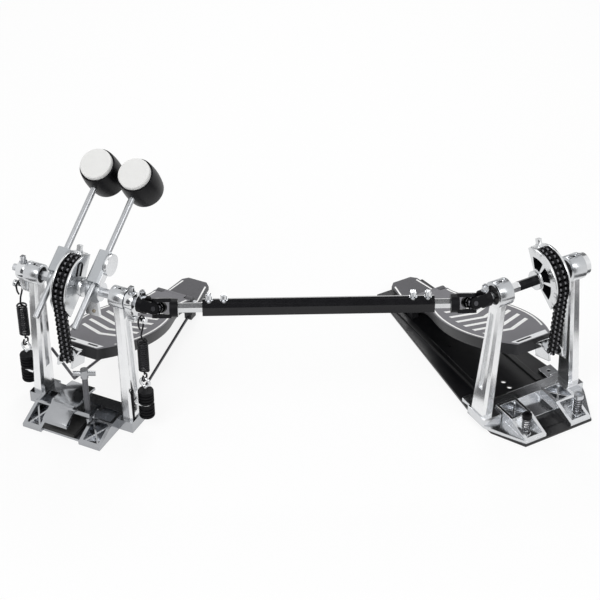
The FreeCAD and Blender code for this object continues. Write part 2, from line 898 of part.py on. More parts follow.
def wing(x0, x1, front, rise_y, height, back, low, ribbed):
    """A wedge that reaches forward, with a front and a back pocket, one of them with crossed ribs."""
    outline = [(front, low), (front, low + wing_tip_height), (rise_y, low + height), (back, low + height),
               (back, low)]
    solid = prism_x(outline, x0, x1)
    w = wing_wall
    floor = low + wing_floor
    spans = {"front": (front + w, rise_y - w / 2), "back": (rise_y + w / 2, back - w)}
    hollows = [block(x0 + w, x1 - w, y0, y1, floor, low + height + overrun) for y0, y1 in spans.values()]
    y0, y1 = spans[ribbed]
    lowered = solid.copy()
    lowered.translate(V(0, 0, -wing_rib_drop))
    ribs = [rib.common(lowered) for rib in cross_ribs(x0 + w, x1 - w, y0, y1, low, low + height)]
    return fuse(cut(solid, *hollows), *ribs)


def main_base():
    bar = prism_x([(base_bar_front, 0), (base_back, 0), (base_back, post_foot_height - wing_wall),
                   (base_back - wing_wall, post_foot_height), (base_bar_front, post_foot_height)],
                  -base_half_width, base_half_width)
    sockets = [block(base_socket_inner, base_half_width, base_socket_front, base_back, 0, post_foot_height),
               block(-base_half_width, -base_socket_inner, base_socket_front, base_back, 0, post_foot_height)]
    wings = [wing(left_wing_outer, left_wing_inner, wing_front, wing_rise_y, wing_height, base_bar_front, 0,
                  "front"),
             wing(right_wing_inner, right_wing_outer, wing_front, wing_rise_y, wing_height, base_bar_front, 0,
                  "front")]
    floor = block(left_wing_inner, right_wing_inner, pad_front, base_bar_front, 0, wing_floor)
    pivot = bar_x(left_wing_inner - wing_wall / 2, right_wing_inner + wing_wall / 2, jaw_pivot_y, jaw_pivot_height,
                  jaw_pivot_radius)
    ears = []
    for x0, x1 in ((left_wing_inner - wing_wall, left_wing_inner), (right_wing_inner, right_wing_inner + wing_wall)):
        ears.append(bar_x(x0, x1, jaw_pivot_y, jaw_pivot_height, jaw_eye_radius))
    anvil = pillar(clamp_bolt_x, clamp_bolt_y, 0, clamp_bolt_low - slack, clamp_bolt_radius + fit)
    shape = fuse(bar, floor, pivot, anvil, *(sockets + wings + ears))
    return shape


def jaw_arch(offset, x0, x1):
    """The jaw's arched plate between its top curve and the same curve lowered by the offset."""
    lip = V(x0, jaw_front, jaw_lip_height + jaw_lip)
    crown = V(x0, jaw_crown_y, jaw_crown_height)
    rear = V(x0, jaw_back, jaw_back_height)
    down = V(0, 0, -offset)
    top = Part.Arc(lip, crown, rear).toShape()
    under = Part.Arc(rear + down, crown + down, lip + down).toShape()
    edges = [top, Part.makeLine(rear, rear + down), under, Part.makeLine(lip + down, lip)]
    return Part.Face(Part.Wire(edges)).extrude(V(x1 - x0, 0, 0))


def clamp_jaw():
    plate = jaw_arch(jaw_thickness, jaw_left, jaw_right)
    lip = block(jaw_left, jaw_right, jaw_front, jaw_front + jaw_lip, jaw_lip_height, jaw_lip_height + jaw_lip)
    lip = fuse(lip, prism_x([(jaw_front, jaw_lip_height), (jaw_front + jaw_lip, jaw_lip_height),
                             (jaw_front + 2 * jaw_lip, jaw_lip_height + jaw_lip),
                             (jaw_front, jaw_lip_height + jaw_lip)], jaw_left, jaw_right))
    cheeks = []
    for x0, x1 in ((jaw_left, jaw_left + jaw_cheek), (jaw_right - jaw_cheek, jaw_right)):
        eye = bar_x(x0, x1, jaw_pivot_y, jaw_pivot_height, jaw_eye_radius)
        neck = prism_x([(jaw_pivot_y - jaw_eye_radius, jaw_pivot_height),
                        (jaw_pivot_y + jaw_eye_radius, jaw_pivot_height),
                        (jaw_pivot_y + jaw_eye_radius, jaw_crown_height - jaw_thickness),
                        (jaw_pivot_y - jaw_eye_radius, jaw_crown_height - jaw_thickness)], x0, x1)
        cheeks += [eye, neck]
    tab = block(jaw_right - jaw_cheek, jaw_right + jaw_ear_reach, clamp_bolt_y - jaw_ear_half,
                clamp_bolt_y + jaw_ear_half, jaw_ear_height, jaw_ear_height + jaw_ear_thickness)
    shape = fuse(plate, lip, tab, *cheeks)
    hole = bar_x(jaw_left - overrun, jaw_right + overrun, jaw_pivot_y, jaw_pivot_height, jaw_pivot_radius + fit)
    wide = clamp_bolt_radius + fit
    slot = [pillar(clamp_bolt_x, clamp_bolt_y + s * jaw_ear_play, 0, clamp_bolt_top, wide) for s in (-1, 1)]
    slot.append(block(clamp_bolt_x - wide, clamp_bolt_x + wide, clamp_bolt_y - jaw_ear_play,
                      clamp_bolt_y + jaw_ear_play, 0, clamp_bolt_top))
    return cut(shape, hole, *slot)


def clamp_bolt():
    shank = pillar(clamp_bolt_x, clamp_bolt_y, clamp_bolt_low, clamp_bolt_top, clamp_bolt_radius)
    head = pillar(clamp_bolt_x, clamp_bolt_y, clamp_bolt_top - clamp_head_height, clamp_bolt_top, clamp_head_radius)
    a = math.radians(handle_turn)
    reach = V(math.cos(a), math.sin(a), 0) * handle_half
    middle = V(clamp_bolt_x, clamp_bolt_y, clamp_bolt_top - clamp_head_height / 2)
    handle = rod(middle - reach, middle + reach, handle_radius)
    return fuse(shank, head, handle)


# Stabiliser wires


def wire_run(points):
    pieces = [rod(a, b, wire_radius) for a, b in zip(points, points[1:])]
    bends = [Part.makeSphere(wire_radius, p) for p in points[1:-1]]
    return fuse(pieces[0], *(pieces[1:] + bends))


def stabilizer_wire():
    heel_y = hinge_y - knuckle_radius - slack
    post_back = post_foot_depth / 2 + wire_radius
    left = wire_run([V(-wire_heel_x, heel_y, heel_low / 2), V(-wire_heel_x, heel_y - heel_low, wire_floor),
                     V(-wire_bend_x, wire_bend_y, wire_floor),
                     V(-main_head_x, post_back, left_wire_top)])
    right = wire_run([V(wire_heel_x, heel_y, heel_low / 2), V(wire_heel_x, heel_y - heel_low, wire_floor),
                      V(wire_bend_x, wire_bend_y, wire_floor),
                      V(main_head_x, base_back + slack, wire_floor + wire_radius)])
    return Part.makeCompound([left, right])


# Springs


def biarc(start, start_dir, end, end_dir):
    """Two tangent arcs from a start to an end point with given directions."""
    v = end - start
    t = start_dir + end_dir
    k = 2 * (1 - start_dir.dot(end_dir))
    d = (-v.dot(t) + math.sqrt(v.dot(t) ** 2 + k * v.dot(v))) / k
    join = (start + end + (start_dir - end_dir) * d) * 0.5
    return [arc_from(start, start_dir, join), arc_from(end, end_dir * -1, join)]


def arc_from(start, direction, end):
    chord = end - start
    u = V(chord).normalize()
    cosine = u.dot(direction)
    sine = math.sqrt(1 - cosine * cosine)
    side = (direction - u * cosine) * (1 / sine)
    rise = chord.Length / 2 * (1 - cosine) / sine
    return Part.Arc(start, (start + end) * 0.5 + side * rise, end).toShape()


def coil(x, y, low, radius, wire, pitch, turns, name):
    """A round-wire helix about a vertical axis, swept along biarcs of a quarter turn."""
    def place(i):
        a = i * math.pi / 2
        return V(x + radius * math.cos(a), y + radius * math.sin(a), low + wire / 2 + pitch * i / 4)

    def heading(i):
        a = i * math.pi / 2
        return V(-radius * math.sin(a), radius * math.cos(a), pitch / 2 / math.pi).normalize()

    edges = []
    for i in range(4 * turns):
        edges += biarc(place(i), heading(i), place(i + 1), heading(i + 1))
    path = Part.Wire(Part.__sortEdges__(edges))
    ring = Part.Wire(Part.makeCircle(wire / 2, place(0), heading(0)))
    shell = Part.BRepOffsetAPI.MakePipeShell(path)
    shell.add(ring, False, False)
    shell.build()
    shell.makeSolid()
    least = min((place(i + 4) - place(i)).Length for i in range(4 * turns - 3)) - wire
    print(name, "least gap between curls", round(least, 2))
    return Part.Solid(shell.shape())


spring_top = axle_height - lever_length - spring_drop
eye_height = lug_low + lug_thickness + nut_height + eye_clear
spring_low = eye_height + eye_drop
spring_room = spring_top - spring_wire - spring_low
spring_turns = max(1, round(spring_room / spring_pitch))


def return_spring(side):
    x = side * spring_x
    body = coil(x, 0, spring_low, spring_coil_radius, spring_wire,
                spring_room / spring_turns, spring_turns, "return spring")
    ring_z = eye_height + eye_radius - eye_wire_radius - slack - hook_wire_radius + hook_radius
    ring = torus(V(x, 0, ring_z), V(1, 0, 0), hook_radius, hook_wire_radius)
    stem = pillar(x, 0, ring_z + hook_radius, spring_low + spring_wire / 2, hook_wire_radius)
    start = spring_low + spring_wire / 2
    crank = rod(V(x, 0, start), V(x + spring_coil_radius, 0, start), hook_wire_radius)
    knee = Part.makeSphere(hook_wire_radius, V(x, 0, start))
    return fuse(body, ring, stem, crank, knee)


def spring_hook(side):
    x = side * spring_x
    tip = axle_height - lever_length
    ring_z = tip - (hook_top_radius - hook_wire_radius - tip_pin_radius) + slack
    ring = torus(V(x, 0, ring_z), V(1, 0, 0), hook_top_radius, hook_wire_radius)
    base = spring_top + slack + hook_wire_radius
    stem = pillar(x, 0, base, ring_z - hook_top_radius, hook_wire_radius)
    crank = rod(V(x, 0, base), V(x + spring_coil_radius, 0, base), hook_wire_radius)
    knee = Part.makeSphere(hook_wire_radius, V(x, 0, base))
    return fuse(ring, stem, crank, knee)


def eyebolts():
    bolts = []
    for side in (-1, 1):
        x = side * spring_x
        shank = pillar(x, 0, lug_low - nut_height - bolt_tail, eye_height - eye_radius, bolt_radius)
        eye = torus(V(x, 0, eye_height), V(0, 1, 0), eye_radius, eye_wire_radius)
        bolts.append(fuse(shank, eye))
    return Part.makeCompound(bolts)


def knurled_nut(x, low):
    shape = pillar(x, 0, low, low + nut_height, nut_radius)
    for share in (1, 2, 3):
        z = low + share * nut_height / 4
        ring = cut(pillar(x, 0, z - nut_groove_width / 2, z + nut_groove_width / 2, nut_radius + overrun),
                   pillar(x, 0, z - nut_groove_width, z + nut_groove_width, nut_radius - nut_groove))
        shape = cut(shape, ring)
    return cut(shape, pillar(x, 0, low - overrun, low + nut_height + overrun, bolt_radius))


def tension_nuts():
    nuts = []
    for side in (-1, 1):
        nuts.append(knurled_nut(side * spring_x, lug_low + lug_thickness))
        nuts.append(knurled_nut(side * spring_x, lug_low - nut_height))
    return Part.makeCompound(nuts)


# Slave base


def slave_plate():
    outline = [(plate_front_half, plate_front), (plate_shoulder_half, plate_shoulder_y),
               (plate_shoulder_half, base_back), (plate_back_half, plate_back)]
    outline += [(-x, y) for x, y in reversed(outline)]
    shape = prism_z(outline, 0, plate_gauge)
    end_x = plate_rib_x * plate_rib_share
    for side in (-1, 1):
        half = plate_rib_width / 2
        start = [(side * plate_rib_x + a, plate_rib_start) for a in (-half, half)]
        end = [(side * end_x + a, plate_back - plate_rib_start) for a in (half, -half)]
        rib = prism_z(start + end, plate_gauge - overrun / 2, plate_gauge + plate_rib_rise)
        shape = fuse(shape, rib)
    holes = [pillar(0, y, -overrun, plate_gauge + overrun, plate_hole_radius) for y in plate_hole_places]
    for side in (-1, 1):
        holes.append(pillar(side * anchor_x, anchor_y, -overrun, plate_gauge + overrun,
                            anchor_screw_radius + slack))
    return cut(shape, *holes)


def slave_base():
    low = plate_gauge
    bar = prism_x([(base_bar_front, low), (base_back, low), (base_back, post_foot_height - wing_wall),
                   (base_back - wing_wall, post_foot_height), (base_bar_front, post_foot_height)],
                  -slave_half_width, slave_half_width)
    shapes = []
    for side in (-1, 1):
        socket = block(base_socket_inner, slave_half_width, base_socket_front, base_back, low, post_foot_height)
        shape = wing(slave_wing_inner, slave_wing_outer, slave_wing_front, slave_wing_rise_y,
                     slave_wing_height, base_bar_front, low, "back")
        inner = slave_wing_outer - wing_wall
        skirt = prism_z([(inner, slave_wing_front), (slave_wing_outer, slave_wing_front),
                         (plate_shoulder_half, plate_shoulder_y), (slave_half_width, base_socket_front),
                         (inner, base_socket_front)], low, low + wing_tip_height)
        outline = [(tab_x - tab_half_width, base_back - overrun), (tab_x + tab_half_width, base_back - overrun),
                   (tab_x + tab_half_width, tab_back), (tab_x - tab_half_width, tab_back)]
        tab = prism_z(outline, low, low + tab_thickness)
        tab = cut(tab, pillar(tab_x, tab_back - tab_half_width, 0, low + 2 * tab_thickness, tab_hole_radius))
        seat = pillar(anchor_x, anchor_y, low, low + wing_tip_height, anchor_spring_radius + anchor_spring_wire)
        hand = fuse(shape, socket, skirt, tab, seat)
        shapes.append(hand if side > 0 else mirrored(hand))
    floor = block(-slave_wing_inner, slave_wing_inner, slave_wing_front / 2, base_bar_front, low, low + wing_floor)
    shape = fuse(bar, floor, *shapes)
    holes = [pillar(s * anchor_x, anchor_y, 0, low + slave_wing_height, anchor_screw_radius + slack) for s in (-1, 1)]
    return cut(shape, *holes)


def anchor_screw(side):
    x = side * anchor_x
    head = pillar(x, anchor_y, anchor_top - anchor_head_height, anchor_top, anchor_head_radius)
    shank = pillar(x, anchor_y, plate_gauge, anchor_top - anchor_head_height, anchor_screw_radius)
    tip = Part.makeCone(slack, anchor_screw_radius, plate_gauge - slack, V(x, anchor_y, slack), V(0, 0, 1))
    half = screw_square / 2
    recess = block(x - half, x + half, anchor_y - half, anchor_y + half,
                   anchor_top - anchor_head_height / 2, anchor_top + overrun)
    return cut(fuse(head, shank, tip), recess)


def anchor_springs():
    low = plate_gauge + wing_tip_height + slack
    top = anchor_top - anchor_head_height - slack
    pitch = (top - low - anchor_spring_wire) / anchor_spring_turns
    coils = [coil(side * anchor_x, anchor_y, low, anchor_spring_radius, anchor_spring_wire, pitch,
                  anchor_spring_turns, "anchor spring") for side in (-1, 1)]
    return Part.makeCompound(coils)


# Placing and writing


def on_main(shape):
    placed = shape.copy()
    placed.rotate(V(0, 0, 0), V(0, 0, 1), main_yaw)
    return placed


def on_slave(shape):
    placed = shape.copy()
    placed.rotate(V(0, 0, 0), V(0, 0, 1), slave_yaw)
    placed.translate(slave_place)
    return placed


def floor_place(yaw, x, y, along):
    """The point at a distance along a pedal's axle, on the floor."""
    a = math.radians(yaw)
    return V(x + along * math.cos(a), y + along * math.sin(a), 0)


main_joint = floor_place(main_yaw, 0, 0, main_joint_x)
slave_joint = floor_place(shaft_yaw, main_joint.x, main_joint.y, tube_start + tube_length + tube_tail)
slave_place = floor_place(slave_yaw, slave_joint.x, slave_joint.y, -slave_joint_x)
shaft_line = slave_joint - main_joint


def turned_to(shape, place, yaw):
    """Places a joint piece, drawn about the origin, at a universal joint."""
    moved = shape.copy()
    moved.rotate(V(0, 0, 0), V(0, 0, 1), yaw)
    moved.translate(place)
    return moved


def cross_on(place, axle_yaw):
    """The cross at a joint, its first pin in the axle's fork and its second square to the shaft as well."""
    turn = V(math.cos(math.radians(axle_yaw)), math.sin(math.radians(axle_yaw)), 0)
    side = V(-turn.y, turn.x, 0)
    a = math.radians(joint_phase)
    first = side * math.cos(a) + V(0, 0, math.sin(a))
    shaft = V(shaft_line).normalize()
    second = shaft.cross(first).normalize()
    third = first.cross(second)
    matrix = FreeCAD.Matrix(third.x, first.x, second.x, place.x, third.y, first.y, second.y, place.y,
                            third.z, first.z, second.z, axle_height, 0, 0, 0, 1)
    shape = cross(0)
    shape.translate(V(0, 0, -axle_height))
    return shape.transformed(matrix)


def shaft_fork_roll(axle_yaw):
    """Roll about the shaft that brings a shaft fork's pin onto the cross's second pin."""
    turn = V(math.cos(math.radians(axle_yaw)), math.sin(math.radians(axle_yaw)), 0)
    side = V(-turn.y, turn.x, 0)
    a = math.radians(joint_phase)
    first = side * math.cos(a) + V(0, 0, math.sin(a))
    shaft = V(shaft_line).normalize()
    second = shaft.cross(first).normalize()
    across = V(-shaft.y, shaft.x, 0)
    return math.degrees(math.atan2(second.z, second.dot(across)))


def write(name, shape):
    shape.exportStep("parts/" + name + ".step")


def main():
    os.makedirs("parts", exist_ok=True)
    write("main_base", on_main(main_base()))
    write("main_left_post", on_main(main_post(-1)))
    write("main_right_post", on_main(main_post(1)))
    rings = [bearing(-main_head_x, main_bearing_radius), bearing(main_head_x, main_bearing_radius)]
    write("main_bearings", on_main(Part.makeCompound(rings)))
    write("main_heel_plate", on_main(heel_plate(wire_floor)))
    write("main_hinge_pin", on_main(hinge_pin()))
    write("rubber_feet", on_main(rubber_feet()))
    write("stabilizer_wire", on_main(stabilizer_wire()))
    write("spring_eyebolts", on_main(eyebolts()))
    write("tension_nuts", on_main(tension_nuts()))
    write("clamp_jaw", on_main(clamp_jaw()))
    write("clamp_bolt", on_main(clamp_bolt()))
    write("main_footboard", on_main(footboard()))
    write("main_chain_bracket", on_main(chain_bracket(main_cam_x)))
    write("main_axle", on_main(first_axle()))
    write("main_cam", on_main(cam(main_cam_x)))
    write("first_holder", on_main(first_holder()))
    write("left_rocker", on_main(rocker(-1)))
    for name, x in (("first", first_holder_x), ("second", second_holder_x)):
        write(name + "_rod", on_main(beater_rod(x)))
        write(name + "_head", on_main(beater_barrel(x)))
        write(name + "_felt", on_main(beater_felt(x)))
    write("second_axle", on_main(second_axle()))
    write("second_holder", on_main(second_holder()))
    write("right_rocker", on_main(rocker(1)))
    for name, side in (("left", -1), ("right", 1)):
        write(name + "_spring", on_main(return_spring(side)))
        write(name + "_spring_hook", on_main(spring_hook(side)))
    for name, place, x in (("main", on_main, main_cam_x), ("slave", on_slave, slave_cam_x)):
        stretches = ["chain", "chain_upper", "chain_middle", "chain_tail"]
        for stretch, shape in zip(stretches, chain_parts(x)):
            write(name + "_" + stretch, place(shape))
    write("main_yoke", turned_to(axle_yoke(), main_joint, main_yaw))
    write("main_cross", cross_on(main_joint, main_yaw))
    slave_fork = axle_yoke()
    slave_fork.rotate(V(0, 0, 0), V(0, 0, 1), 180)
    slave_fork.rotate(V(0, 0, axle_height), V(1, 0, 0), 2 * joint_phase)
    write("slave_yoke", turned_to(slave_fork, slave_joint, slave_yaw))
    write("slave_cross", cross_on(slave_joint, slave_yaw))
    main_shaft = shaft_yoke(tube_start - fork_start + main_rod_depth, 0)
    main_shaft.rotate(V(0, 0, 0), V(0, 0, 1), 180)
    main_shaft.rotate(V(0, 0, axle_height), V(1, 0, 0), shaft_fork_roll(main_yaw))
    write("main_shaft_yoke", turned_to(main_shaft, main_joint, shaft_yaw))
    slave_shaft = shaft_yoke(tube_tail - fork_start + slave_rod_depth, 0)
    slave_shaft.rotate(V(0, 0, axle_height), V(1, 0, 0), shaft_fork_roll(slave_yaw))
    write("slave_shaft_yoke", turned_to(slave_shaft, slave_joint, shaft_yaw))
    write("shaft_tube", turned_to(shaft_tube(), main_joint, shaft_yaw))
    write("slave_plate", on_slave(slave_plate()))
    write("slave_base", on_slave(slave_base()))
    write("slave_left_post", on_slave(slave_post(-1)))
    write("slave_right_post", on_slave(slave_post(1)))
    rings = [bearing(-slave_head_x, slave_bearing_radius), bearing(slave_head_x, slave_bearing_radius)]
    write("slave_bearings", on_slave(Part.makeCompound(rings)))
    write("slave_heel_plate", on_slave(slave_heel_plate()))
    write("slave_hinge_pin", on_slave(hinge_pin()))
    write("slave_footboard", on_slave(footboard()))
    write("slave_chain_bracket", on_slave(chain_bracket(slave_cam_x)))
    write("slave_axle", on_slave(slave_axle()))
    write("slave_cam", on_slave(cam(slave_cam_x)))
    write("left_anchor_screw", on_slave(anchor_screw(-1)))
    write("right_anchor_screw", on_slave(anchor_screw(1)))
    write("anchor_springs", on_slave(anchor_springs()))


main()
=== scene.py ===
"""Looks of a double bass drum pedal: finishes, chains, springs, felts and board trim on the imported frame."""
import math

import bpy
import bmesh
from mathutils import Matrix, Vector


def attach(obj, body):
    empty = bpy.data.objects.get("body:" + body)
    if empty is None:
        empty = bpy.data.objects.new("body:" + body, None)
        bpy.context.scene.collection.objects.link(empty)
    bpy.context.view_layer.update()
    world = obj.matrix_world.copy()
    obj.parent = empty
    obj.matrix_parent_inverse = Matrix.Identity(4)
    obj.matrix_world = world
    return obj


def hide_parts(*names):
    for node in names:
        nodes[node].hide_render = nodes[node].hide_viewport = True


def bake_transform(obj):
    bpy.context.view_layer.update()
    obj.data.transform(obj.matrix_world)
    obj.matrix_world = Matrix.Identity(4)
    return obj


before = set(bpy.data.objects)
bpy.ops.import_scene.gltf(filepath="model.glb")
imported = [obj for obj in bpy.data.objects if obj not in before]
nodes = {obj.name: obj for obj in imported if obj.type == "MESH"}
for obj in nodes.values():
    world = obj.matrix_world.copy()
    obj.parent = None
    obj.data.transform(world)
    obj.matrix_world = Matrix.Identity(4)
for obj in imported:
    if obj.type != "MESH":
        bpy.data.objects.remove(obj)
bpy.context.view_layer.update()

# Sizes shared with the solids, in millimetres and degrees
MM = 0.001
AXLE_HEIGHT = 172.0
MAIN_YAW = -25.6
SLAVE_YAW = 30.0
SLAVE_PLACE = (500.986, 10.001, 0.0)
HINGE_Y = 205.0
HINGE_HEIGHT = 26.0
BOARD_SLOPE = 17.027
BOARD_LENGTH = 222.0
BOARD_HEEL_GAP = 8.0
BOARD_HALF_WIDTH = 44.0
BOARD_RISE = 5.0
BOARD_STATIONS = [0.0, 0.10, 0.30, 0.55, 0.76, 1.0]
BOARD_WIDTHS = [0.58, 0.55, 0.80, 1.0, 0.92, 0.51]
HEEL_TOP = 16.0
HEEL_LENGTH = 57.0
HEEL_FRONT_HALF = 26.0
HEEL_BACK_HALF = 19.0
HEEL_CORNER = 6.0
CHAIN_PITCH = 6.35
CHAIN_RADIUS = 34.0
CHAIN_LIFT = 93.0
CHAIN_STRETCHES = (3, 3, 3, 13)
CHAIN_WORDS = ("chain", "chain_upper", "chain_middle", "chain_tail")
CHAIN_WIDTH = 14.4
CAM_X = {"main": -2.0, "slave": 9.0}
CAM_HALF_WIDTH = 10.05
CAM_WEB = 5.0
CAM_WINDOW_INNER = 13.5
CAM_WINDOW_OUTER = 27.0
BEATER_ANGLE = -56.0
BEATER_X = {"first": -25.0, "second": 23.5}
ROD_OFFSET = 10.0
BARREL_HEIGHT = 131.0
BARREL_FRONT = 11.0
SPRING_X = 78.0
SPRING_LOW = 80.05
SPRING_TOP = 119.3
SPRING_WIRE = 2.2
SPRING_RADIUS = 5.2
SPRING_PITCH = 2.85
SPRING_TURNS = 13
SPRING_EYE = 71.2
EYE_HOOK_RADIUS = 4.4
NUT_RADIUS = 8.6
NUT_HEIGHT = 16.0
LUG_LOW = 34.0
LUG_THICKNESS = 3.0
ANCHOR_X = 36.0
ANCHOR_Y = -50.0
ANCHOR_HEAD_LOW = 28.0
ANCHOR_SPRING_LOW = 7.35
ANCHOR_SPRING_TOP = 27.65
ANCHOR_SPRING_RADIUS = 4.3
ANCHOR_SPRING_WIRE = 1.3
ANCHOR_SPRING_TURNS = 6
MAIN_JOINT_X = 100.0
SLAVE_JOINT_X = -87.0
YOKE_END = 22.0
TUBE_FLATS = 18.0
TUBE_START = 48.0
TUBE_LENGTH = 248.0
TUBE_SCREW_INSET = 7.0
TUBE_SCREW_STEP = 16.0
YOKE_SCREW_INSET = 17.5
YOKE_SCREW_HEIGHT = 9.6
MAIN_HEAD_X = 54.0
HEAD_WIDTH = 18.0
ROCKER_RADIUS = 10.5
ROCKER_SCREW_GAP = 5.6
APRON_HEIGHT = 26.0
CLAMP_X = 21.0
CLAMP_Y = -33.0
CLAMP_RADIUS = 3.2
CLAMP_LOW = 18.5
CLAMP_NECK = 75.0

# Where one finish gives way to another, in millimetres
HEAD_FADE = 18.0
AXLE_SLEEVE = (-25.0, -3.0)
APRON_START = 8.5
DISC_X = 31.4
MASK_MARGIN = 0.3
RING_MARGIN = 0.2

# Chain links, key screws and knurling, in millimetres, with waist and neck as shares and the turn in radians
OUTER_PLATES = (-6.5, 0.0, 6.5)
INNER_PLATES = (-5.2, -1.3, 1.3, 5.2)
PLATE_HEIGHT = 5.7
PLATE_THICKNESS = 1.15
PLATE_WAIST = 0.66
ROLLER_X = (-3.25, 3.25)
ROLLER_RADIUS = 2.2
ROLLER_LENGTH = 2.7
PIN_RADIUS = 1.25
KEY_SQUARE = 5.2
KEY_HEAD = 6.6
KEY_FLANGE_RADIUS = 4.35
KEY_FLANGE = 2.1
KEY_NECK_RADIUS = 0.42
KEY_NECK_LENGTH = 0.4
KEY_NECK_PLACE = 1.02
KEY_TURN = 0.4
KNURL_BANDS = 4
KNURL_RIBS = 40
KNURL_WIDTH = 0.75
KNURL_DEPTH = 0.7
KNURL_LENGTH = 2.2

# Small fittings, in millimetres and degrees
THREAD_PITCH = 1.5
THREAD_WIRE = 0.5
THREAD_SINK = 0.3
THREAD_INSET = 2.0
KEEPER_WIRE = 0.65
KEEPER_OFFSET = (0.5, -6.0, 24.0)
KEEPER_HALF = 4.2
KEEPER_LENGTH = 11.0
KEEPER_LEAN = -28.0
CLIP_X = 66.0
CLIP_Y = -9.5
CLIP_LOW = 14.0
CLIP_HIGH = 50.0
CLIP_ROD = 1.5
CLIP_RING = 2.6
CLIP_WIRE = 0.8
APRON_SCREW_SHIFT = 2.0
APRON_SCREW_RISE = 6.0
APRON_SCREW_PROFILE = [(0.0, 0.0), (2.1, 0.0), (2.1, 0.7), (1.5, 1.3), (0.0, 1.5)]

# Hooks of the return springs, in millimetres
HOOK_TOP = 148.7
HOOK_RADIUS = 5.6
HOOK_WIRE = 1.05
HOOK_SEAT = 1.3
HOOK_LEAD = 2.0
# Runs of the upper hook, across and down from its middle as shares of its radius
HOOK_TIP = [(-0.45, 1.9), (-0.85, 1.0)]
HOOK_FALL = [(0.95, 1.0), (0.55, 2.0), (0.0, 2.9), (-0.2, 3.7)]
HOOK_SHIFT = 0.3
# Run of the lower hook into the coil, across as a share of the coil's radius and down in millimetres
EYE_LEAD = [(0.0, 2.2), (0.5, 0.6)]

# Felts, board lines and toe plates, in millimetres and shares of the board's length
FELT_RADIUS = 18.3
FELT_THICKNESS = 10.0
FELT_ROUND = 1.5
FELT_STEPS = 8
FELT_CHAMFER = (0.4, 0.5)
FELT_CROWN = [(9.0, 0.15), (4.0, 0.25), (0.0, 0.3)]
LINE_INSET = 2.0
LINE_WIDTH = 2.2
LINE_LIFT = 0.12
LINE_START = 0.02
LINE_RUN = 0.86
LINE_STEPS = 60
CHEVRONS = 6
CHEVRON_FIRST = 0.30
CHEVRON_STEP = 0.085
CHEVRON_THICK = 0.03
CHEVRON_RISE = 0.06
CHEVRON_MARGIN = 12.0
CHEVRON_CUTS = 8
HEEL_LINE_END = 9.0
HEEL_LINE_CORNERS = [(1.0, 5.0), (6.0, 0.0)]
TOE_PLATE = (0.945, 0.993)
TOE_PLATE_INSETS = (3.5, 3.0)
TOE_PLATE_LIFT = 0.16
TOE_SLOT = (0.957, 0.975)
TOE_SLOT_LIFT = 0.22
TOE_SLOT_GAP = 1.0
TOE_SLOT_INSET = 4.5
TOE_SLOT_LEAST = 4.0

# Stage, lamps and camera, in metres, watts and degrees
FLOOR_SIZE = 12.0
FLOOR_DROP = 0.0004
FLOOR_GLOW = 0.86
WORLD_LIGHT = 0.55
WORLD_SEEN = 1.0
# Each lamp: its place, the point that it faces, its power and its size
LAMPS = {
    "key_lamp": ((-0.6, -1.1, 1.6), (0.25, 0.05, 0.08), 15.0, 0.9),
    "fill_lamp": ((1.3, -0.9, 1.2), (0.3, 0.05, 0.08), 7.0, 0.9),
    "back_lamp": ((0.25, 1.2, 1.3), (0.25, 0.05, 0.08), 8.0, 0.6),
}
# Each dark card: its place, the point that it faces, its width and its height
FLAG_CARDS = [
    ((-0.55, -0.55, 0.35), (0.0, 0.0, 0.12), 0.30, 0.8),
    ((1.05, -0.60, 0.35), (0.5, 0.0, 0.12), 0.30, 0.8),
    ((0.25, -1.3, 0.30), (0.25, 0.0, 0.12), 1.2, 0.16),
    ((0.25, 0.9, 0.42), (0.25, 0.0, 0.12), 1.6, 0.22),
    ((-0.1, 1.0, 1.0), (0.25, 0.0, 0.12), 0.45, 0.5),
    ((0.75, 1.0, 0.95), (0.35, 0.0, 0.12), 0.6, 0.6),
    ((-0.20, -0.24, 0.012), (-0.20, -0.24, 1.0), 0.10, 0.5),
    ((0.36, -0.12, 0.012), (0.36, -0.12, 1.0), 0.10, 0.24),
    ((0.72, -0.1, 0.012), (0.72, -0.1, 1.0), 0.12, 0.5),
    ((0.25, -0.05, 1.4), (0.25, -0.05, 0.0), 0.9, 0.5),
]
CAMERA_PLACE = (0.2444, -1.5063, 1.216)
CAMERA_DIP = 35.2
CAMERA_LENS = 101.0
CAMERA_SENSOR = 36.0
CAMERA_SHIFT = (-0.0033, -0.0017)
CAMERA_FAR = 50.0


# Small tools for meshes


def put(place, point):
    """A point of a pedal's own frame, in millimetres, as a point of the scene."""
    return place @ (Vector(point) * MM)


def sweep(first, last, step=15):
    """Angles from the first to the last, which are given in degrees."""
    past = last + int(math.copysign(1, step))
    return [math.radians(a) for a in range(first, past, step)]


def piece(name, points, faces, material, smooth=True):
    """A mesh object from points in metres, with its normals pointing outwards."""
    mesh = bpy.data.meshes.new(name)
    mesh.from_pydata([tuple(p) for p in points], [], faces)
    shell = bmesh.new()
    shell.from_mesh(mesh)
    bmesh.ops.remove_doubles(shell, verts=shell.verts, dist=1e-7)
    bmesh.ops.recalc_face_normals(shell, faces=shell.faces)
    shell.to_mesh(mesh)
    shell.free()
    for polygon in mesh.polygons:
        polygon.use_smooth = smooth
    mesh.materials.append(material)
    body = bpy.data.objects.new(name, mesh)
    bpy.context.scene.collection.objects.link(body)
    return body


def fitted(name, shape, finish, rider, replaced=None, smooth=True):
    """A piece from points and faces that rides a body, and may stand for a solid."""
    made = piece(name, *shape, finish, smooth)
    if replaced:
        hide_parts(replaced)
    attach(made, rider)
    return made


